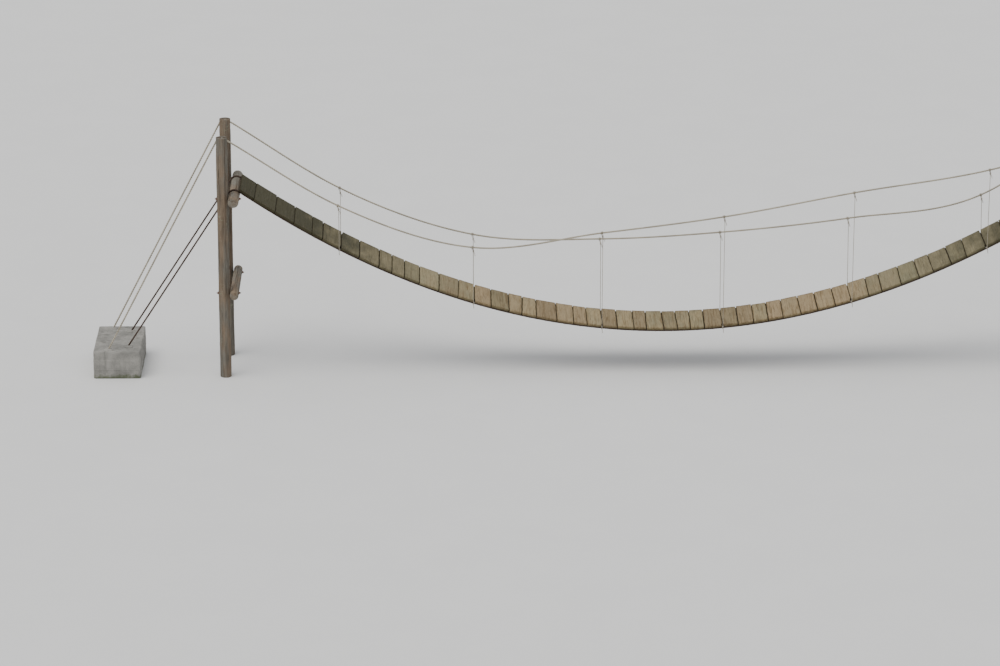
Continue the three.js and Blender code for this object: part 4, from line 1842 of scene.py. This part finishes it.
@dataclass
class EndFrames:
    """The posts, deck sills and lower logs at both ends, and their through bolts."""

    stand: Stand
    timber: Material
    iron: Material
    post_offset: float
    groove_width: float = 0.040
    groove_reach: float = 0.060
    cutter_reach: float = 0.130
    cutter_rise: float = 0.030
    saddle_arc: Pair = (1.06, -0.06)
    saddle_points: int = 25
    post_share: float = 0.99
    cross_share: float = 0.992
    cross_waves: Waves = Waves(0.014, 0.16, 2)
    washer_radius: float = 0.030
    nut_radius: float = 0.017
    washer: Profile = ((0.5, -0.006), (1.0, -0.006), (1.0, 0.003), (0.96, 0.004), (0.5, 0.0042))
    nut: Profile = ((0.9, 0.003), (1.0, 0.0055), (1.0, 0.016), (0.93, 0.0178), (0.6, 0.0182))
    bolt_tip: Profile = ((0.5, 0.01), (0.5, 0.027), (0.42, 0.029))
    merge_within: float = 0.00005
    end_seeds: int = 10
    side_seeds: int = 3

    def groove(self, x: float, y: float) -> Surface:
        """The cutter for a post's top: a slab whose underside is the round saddle.

        Its floor is z = centre + sqrt(saddle^2 - x^2) over the saddle, and drops to the
        groove's ends beyond it.

        Args:
            x: the post's place along the bridge.
            y: its place across.

        Returns:
            The closed cutter, with the log's marks.
        """
        level, reach = self.stand.saddle_bend.centre[1], self.cutter_reach
        top, low = self.stand.post[1, 2] + self.cutter_rise, level - self.groove_reach
        angle = np.linspace(*self.saddle_arc, self.saddle_points) * math.pi
        floor = [0, level] + self.stand.saddle_radius * circle(angle)
        outline = np.concatenate([[[-reach, low], [floor[0, 0], low]], floor,
                                  [[floor[-1, 0], low], [reach, low], [reach, top], [-reach, top]]])
        across = np.array([-1, 1]) * self.groove_width / 2
        rings = np.stack([np.insert(outline + [x, 0], 1, y + place, axis=1) for place in across])
        grain = (rings - [x, y, 0])[..., [2, 0, 1]]
        return Surface.from_rings(rings, across, grain=grain, tone=0.4, crack=0.0, knot=0.0)

    def post(self, end: End, side: Side) -> None:
        """Builds and dresses a post, and cuts its groove.

        Args:
            end: which end.
            side: which side.
        """
        x, y = end.value * self.stand.saddle_bend.centre[0], side.value * self.post_offset
        (x_low, _, low), (x_high, _, high) = self.stand.post
        radius = (x_high - x_low) / 2 * self.post_share
        seed = Seed.POST + self.end_seeds * end.value + self.side_seeds * side.value
        shape = LogShape(np.array([x, y, low]), np.array([x, y, high]), radius, seed, knot_count=6,
                         check_count=5)
        place = f"{end.label}_{side.label}"
        piece = seat(f"log_post_{place}", shape.surface(), self.timber, f"post_{place}")
        cutter = self.groove(x, y).as_object("groove_cutter", crease=30.0)
        cut = piece.modifiers.new("groove", "BOOLEAN")
        cut.operation, cut.solver, cut.object = "DIFFERENCE", "EXACT", cutter
        mesh = bpy.data.meshes.new_from_object(piece.evaluated_get(bpy.context.evaluated_depsgraph_get()))
        piece.modifiers.clear()
        piece.data = mesh
        clean = bmesh.new()
        clean.from_mesh(mesh)
        bmesh.ops.remove_doubles(clean, verts=clean.verts, dist=self.merge_within)
        bmesh.ops.dissolve_degenerate(clean, edges=clean.edges, dist=self.merge_within)
        clean.to_mesh(mesh)
        clean.free()
        mesh.set_sharp_from_angle(angle=math.radians(CREASE))
        bpy.data.objects.remove(cutter)

    def cross_log(self, end: End, name: str, node: str, box: Array, seed: int) -> None:
        """Builds and dresses a cross log that fills its node's box.

        Args:
            end: which end.
            name: the piece's name without its end.
            node: the node's name without its end.
            box: the right-hand node's lowest and highest corner.
            seed: picks its unevenness.
        """
        (x, y, z), (_, across, radius) = box.mean(axis=0), (box[1] - box[0]) / 2
        start, finish = (np.array([end.value * x, y + sign * across, z]) for sign in (-1, 1))
        shape = LogShape(start, finish, radius * self.cross_share, seed + end.value, knot_count=3,
                         waves=self.cross_waves)
        seat(f"{name}_{end.label}", shape.surface(), self.timber, f"{node}_{end.label}")

    def bolt_end(self, log_radius: float) -> Surface:
        """A bolt's end: a washer bent round the log, a nut and the bolt's tip, along +Z.

        Args:
            log_radius: the radius of the log that the washer lies on.

        Returns:
            The parts as one surface, over the log's skin.
        """
        washer = turned_solid(self.washer, self.washer_radius, sides=20)
        washer.points[:, 2] += np.sqrt(log_radius ** 2 - washer.points[:, 0] ** 2) - log_radius
        nut = turned_solid(self.nut, self.nut_radius, sides=6)
        tip = turned_solid(self.bolt_tip, self.nut_radius, sides=12)
        return Surface.joined([washer, nut, tip])

    def bolts(self, end: End) -> Surface:
        """Through bolts where the cross logs meet the posts.

        Args:
            end: which end.

        Returns:
            Both ends of all four bolts.
        """
        post = self.stand.post
        _, across, up = np.eye(3)
        parts = []
        for box in (self.stand.sill, self.stand.lower):
            for x, sign, log_radius, bent in ((box[0, 0], -1, (box[1, 2] - box[0, 2]) / 2, up),
                                              (post[1, 0], 1, (post[1, 0] - post[0, 0]) / 2, across)):
                normal = np.array([sign * end.value, 0.0, 0.0])
                axes = np.stack([bent, np.cross(normal, bent), normal], axis=1)
                places = [(end.value * x, side.value * self.post_offset, box[:, 2].mean()) for side in Side]
                parts.append(self.bolt_end(log_radius).copied([axes] * 2, np.array(places)))
        return Surface.joined(parts)

    def build(self) -> None:
        """Builds and dresses both frames."""
        for end in End:
            for side in Side:
                self.post(end, side)
            self.cross_log(end, "sill_log", "deck_sill", self.stand.sill, Seed.SILL)
            self.cross_log(end, "brace_log", "lower_log", self.stand.lower, Seed.LOWER_LOG)
            seat(f"frame_bolts_{end.label}", self.bolts(end), self.iron, crease=30.0)


@dataclass
class Anchors:
    """The concrete blocks that hold the cables and ropes, and the grout where these go in."""

    stand: Stand
    material: Material
    cable_offset: float
    rope_offset: float
    corner: float = 0.030
    corner_points: int = 5
    rounding: float = 0.012
    rounding_points: int = 4
    foot: tuple[Triple, ...] = ((0.5, 0.0, 0.0), (1.0, 0.012, 0.0), (1.0, 0.003, 0.004))
    first_row: float = 0.012
    side_rows: int = 15
    form_board: float = 0.140
    step_height: float = 0.0016
    step_turn: float = 2.3
    ridge_height: float = 0.0022
    ridge_width: float = 0.002
    ridge_rows: Triple = (-0.003, 0.0, 0.003)
    outwards: Triple = (1.6, 1.0, 0.0)
    side_waves: tuple[Waves, ...] = (Waves(0.0028, 0.30, 410), Waves(0.0012, 0.07, 411))
    chip_depth: float = 0.010
    chip_zone: Pair = (0.050, 0.005)
    chip_from: Pair = (0.75, 1.2)
    chip_waves: Waves = Waves(1.0, 0.10, 412)
    top_waves: tuple[Waves, ...] = (Waves(0.003, 0.22, 413), Waves(0.0012, 0.06, 414))
    top_drop: float = 0.002
    trowel_zone: float = 0.004
    row_spacing: float = 0.05
    side_counts: tuple[int, ...] = (20, 36, 20, 36)
    top_shares: tuple[float, ...] = (0.95, 0.88, 0.8, 0.7, 0.6, 0.5, 0.4, 0.3, 0.2, 0.1)
    mound: Profile = (
        (0.060, -0.010), (0.062, 0.000), (0.056, 0.006), (0.044, 0.013), (0.032, 0.018), (0.022, 0.020))
    mound_sides: int = 28
    mound_stretch: float = 1.15
    mound_edge: Waves = Waves(0.16, 1.6, 440)
    mound_waves: Waves = Waves(0.002, 1.0, 441)
    mound_squeeze: float = 20.0

    def plan(self) -> Array:
        """The block's plan: a rectangle with round corners.

        Returns:
            Its points about the middle, (n, 2).
        """
        inner = (self.stand.block[1] - self.stand.block[0])[:2] / 2 - self.corner
        quarter = np.linspace(0, math.pi / 2, self.corner_points)
        arcs = [inner * signs + self.corner * circle(quarter + turn * math.pi / 2)
                for turn, signs in enumerate(([1, 1], [-1, 1], [-1, -1], [1, -1]))]
        points = []
        for arc, after, count in zip(arcs, arcs[1:] + arcs[:1], self.side_counts):
            points += [arc, np.linspace(arc[-1], after[0], count + 2)[1:-1]]
        return np.concatenate(points)

    def block_surface(self, end: End) -> Surface:
        """One block.

        Ring (scale, inset, z) is the plan, drawn in by the inset and scaled towards its
        middle. The sides show the form's boards as low steps, their upper edges are chipped,
        and the top is trowelled.

        Args:
            end: which end.

        Returns:
            The closed surface.
        """
        low, high = self.stand.block
        plan, height = self.plan(), high[2]
        chips_from, chips_to = height - np.array(self.chip_zone)
        ridges = np.arange(self.form_board, chips_from, self.form_board)
        sides = np.concatenate([np.linspace(self.first_row, height - self.rounding, self.side_rows),
                                (ridges[:, None] + self.ridge_rows).ravel()])
        turn = np.linspace(0, math.pi / 2, self.rounding_points)[1:]
        rows = list(self.foot)
        rows += [(1.0, 0.0, z) for z in np.sort(sides)]
        rows += [(1.0, self.rounding * (1 - math.cos(t)), height - self.rounding * (1 - math.sin(t)))
                 for t in turn]
        rows += [(scale, self.rounding, height) for scale in self.top_shares]
        scale, inset, z = np.array(rows).T[..., None]
        drawn = plan * (1 - inset[..., None] / ((high - low)[:2] / 2)) * scale[..., None]
        points = np.concatenate([drawn, np.broadcast_to(z[..., None], (*drawn.shape[:2], 1))], axis=-1)
        out = unit(np.insert(plan, 2, 0.0, axis=1) * self.outwards)
        ridge = np.exp(-((z - ridges) / self.ridge_width) ** 2).sum(axis=-1, keepdims=True)
        step = self.step_height * np.sin(np.floor(z / self.form_board) * self.step_turn + end.value)
        waves = sum(wave.at(points, end.value) for wave in self.side_waves)
        chips = ease(self.chip_waves.at(points, end.value), *self.chip_from)
        chips = self.chip_depth * chips * ease(z, chips_from, chips_to)
        on_side = (scale == 1.0) & (z > 0)
        push = np.where(on_side, waves + step + self.ridge_height * ridge - chips, 0.0)
        points = points + push[..., None] * out
        trowelled = sum(wave.at(points[..., :2], end.value) for wave in self.top_waves) - self.top_drop
        points[..., 2] += ease(z, height - self.trowel_zone, height) * trowelled
        points[..., 0] += end.value * (low[0] + high[0]) / 2
        return Surface.from_rings(points, np.arange(len(rows)) * self.row_spacing)

    def collar(self, entry: float, y: float, index: int) -> Surface:
        """A low mound of grout round a line: rings whose height falls as they widen.

        Args:
            entry: x where the line goes in.
            y: its place across.
            index: picks its uneven edge.

        Returns:
            The closed surface.
        """
        round_it = circle(round_angles(self.mound_sides))
        radius, height = np.array(self.mound).T[..., None]
        spread = radius * (1 + self.mound_edge.at(round_it, index))
        x, across = np.moveaxis(spread[..., None] * round_it, -1, 0)
        waves = self.mound_waves.at(self.mound_squeeze * radius[..., None] * round_it, index)
        z = self.stand.block[1, 2] + height + waves
        rings = np.stack([entry + self.mound_stretch * x, y + across, z], axis=-1)
        return Surface.from_rings(rings, radius[:, 0])

    def build(self) -> None:
        """Builds and dresses both blocks and their grout."""
        lines = ((self.stand.cable_entry, self.cable_offset), (self.stand.rope_entry, self.rope_offset))
        for end in End:
            seat(f"cast_block_{end.label}", self.block_surface(end), self.material,
                 f"anchor_block_{end.label}", crease=50.0)
            places = [(end.value * entry, side.value * offset) for side in Side for entry, offset in lines]
            collars = [self.collar(x, y, index) for index, (x, y) in enumerate(places)]
            seat(f"grout_{end.label}", Surface.joined(collars), self.material)


@dataclass
class Studio:
    """The floor, the soft lights and the camera at the photo's viewing angle."""

    camera_place: Triple = (-2.955, -63.997, 21.629)
    camera_pitch: float = 18.274
    camera_yaw: float = -0.484
    camera_range: float = 600.0
    focal_pixels: float = 4500.0
    photo_width: float = 1000.0
    sensor: float = 36.0
    floor_reach: float = 300.0
    lamp_height: float = 9.0
    sky: Colour = (0.93, 0.95, 1.0)
    sky_strength: float = 0.78
    suns: tuple[tuple[str, Triple, float, float, Colour], ...] = (
        ("overhead", (0.30, 0.32, -1.0), 45.0, 1.9, (1.0, 0.975, 0.93)),
        ("front", (0.55, 0.85, -0.55), 70.0, 0.3, (1.0, 0.98, 0.95)))

    def floor(self) -> None:
        """A level square floor."""
        reach = self.floor_reach
        corners = [(-reach, -reach, 0.0), (reach, -reach, 0.0), (reach, reach, 0.0), (-reach, reach, 0.0)]
        mesh = bpy.data.meshes.new("studio_floor")
        mesh.from_pydata(corners, [], [(0, 1, 2, 3)])
        mesh.materials.append(FloorFinish().paint())
        added("studio_floor", mesh)

    def sun(self, name: str, travel: Triple, spread: float, strength: float,
            colour: Colour) -> None:
        """A very wide and so soft sun.

        Args:
            name: its name.
            travel: the direction its light travels.
            spread: how wide it looks, in degrees.
            strength: its strength.
            colour: its colour.
        """
        data = bpy.data.lights.new(name, "SUN")
        data.angle, data.energy, data.color = math.radians(spread), strength, colour
        lamp = added(name, data)
        lamp.rotation_euler = Vector(travel).to_track_quat("-Z", "Y").to_euler()
        lamp.location = (0.0, 0.0, self.lamp_height)

    def camera(self) -> None:
        """The camera that was fitted to both edges of the photo's deck."""
        data = bpy.data.cameras.new("photo_camera")
        data.sensor_width = self.sensor
        data.lens = self.focal_pixels / self.photo_width * self.sensor
        data.clip_end = self.camera_range
        camera = added("photo_camera", data)
        camera.location = self.camera_place
        camera.rotation_euler = (math.radians(90 - self.camera_pitch), 0.0, math.radians(self.camera_yaw))
        bpy.context.scene.camera = camera

    def build(self) -> None:
        """Sets up the floor, the world, the lights and the camera."""
        self.floor()
        world = bpy.data.worlds.new("soft_surroundings")
        world.use_nodes = True
        background = world.node_tree.nodes["Background"]
        background.inputs["Color"].default_value = (*self.sky, 1.0)
        background.inputs["Strength"].default_value = self.sky_strength
        bpy.context.scene.world = world
        for sun in self.suns:
            self.sun(*sun)
        self.camera()


def main() -> None:
    """Builds the bridge piece by piece, then the studio round it."""
    logging.basicConfig(level=logging.INFO, format="%(name)s: %(message)s")
    line = DeckLine()
    nodes = ("deck_sill_right", "post_right_far", "lower_log_right", "anchor_block_right")
    stand = Stand(*(node_box(node) for node in nodes))
    iron = IronFinish().paint()
    cable_offset, rope_offset = (node_box(node).mean(axis=0)[1]
                                 for node in ("deck_cable_far", "hand_rope_far"))
    tie_places = tuple(line.seams[seam] for seam in line.tie_seams)
    profiles = {side: RopeProfile(tie_places, TIE_HEIGHTS[side], stand.saddle_bend) for side in Side}
    deck = Deck(line, BoardFinish().paint())
    deck.build()
    # The near-black fill in the board gaps is painted shade.
    SeamSoil(deck, SoilFinish().paint()).build()
    BoardFixings(deck, iron, cable_offset).build()
    DeckCables(line, stand, WIRE_ROPE_FINISH.paint(), cable_offset).build()
    HandRopes(profiles, HAND_ROPE_FINISH.paint(), rope_offset).build()
    Ties(line, profiles, TIE_CORD_FINISH.paint(), rope_offset, cable_offset).build()
    EndFrames(stand, LogFinish().paint(), iron, rope_offset).build()
    Anchors(stand, ConcreteFinish().paint(), cable_offset, rope_offset).build()
    Studio().build()


if __name__ == "__main__":
    main()
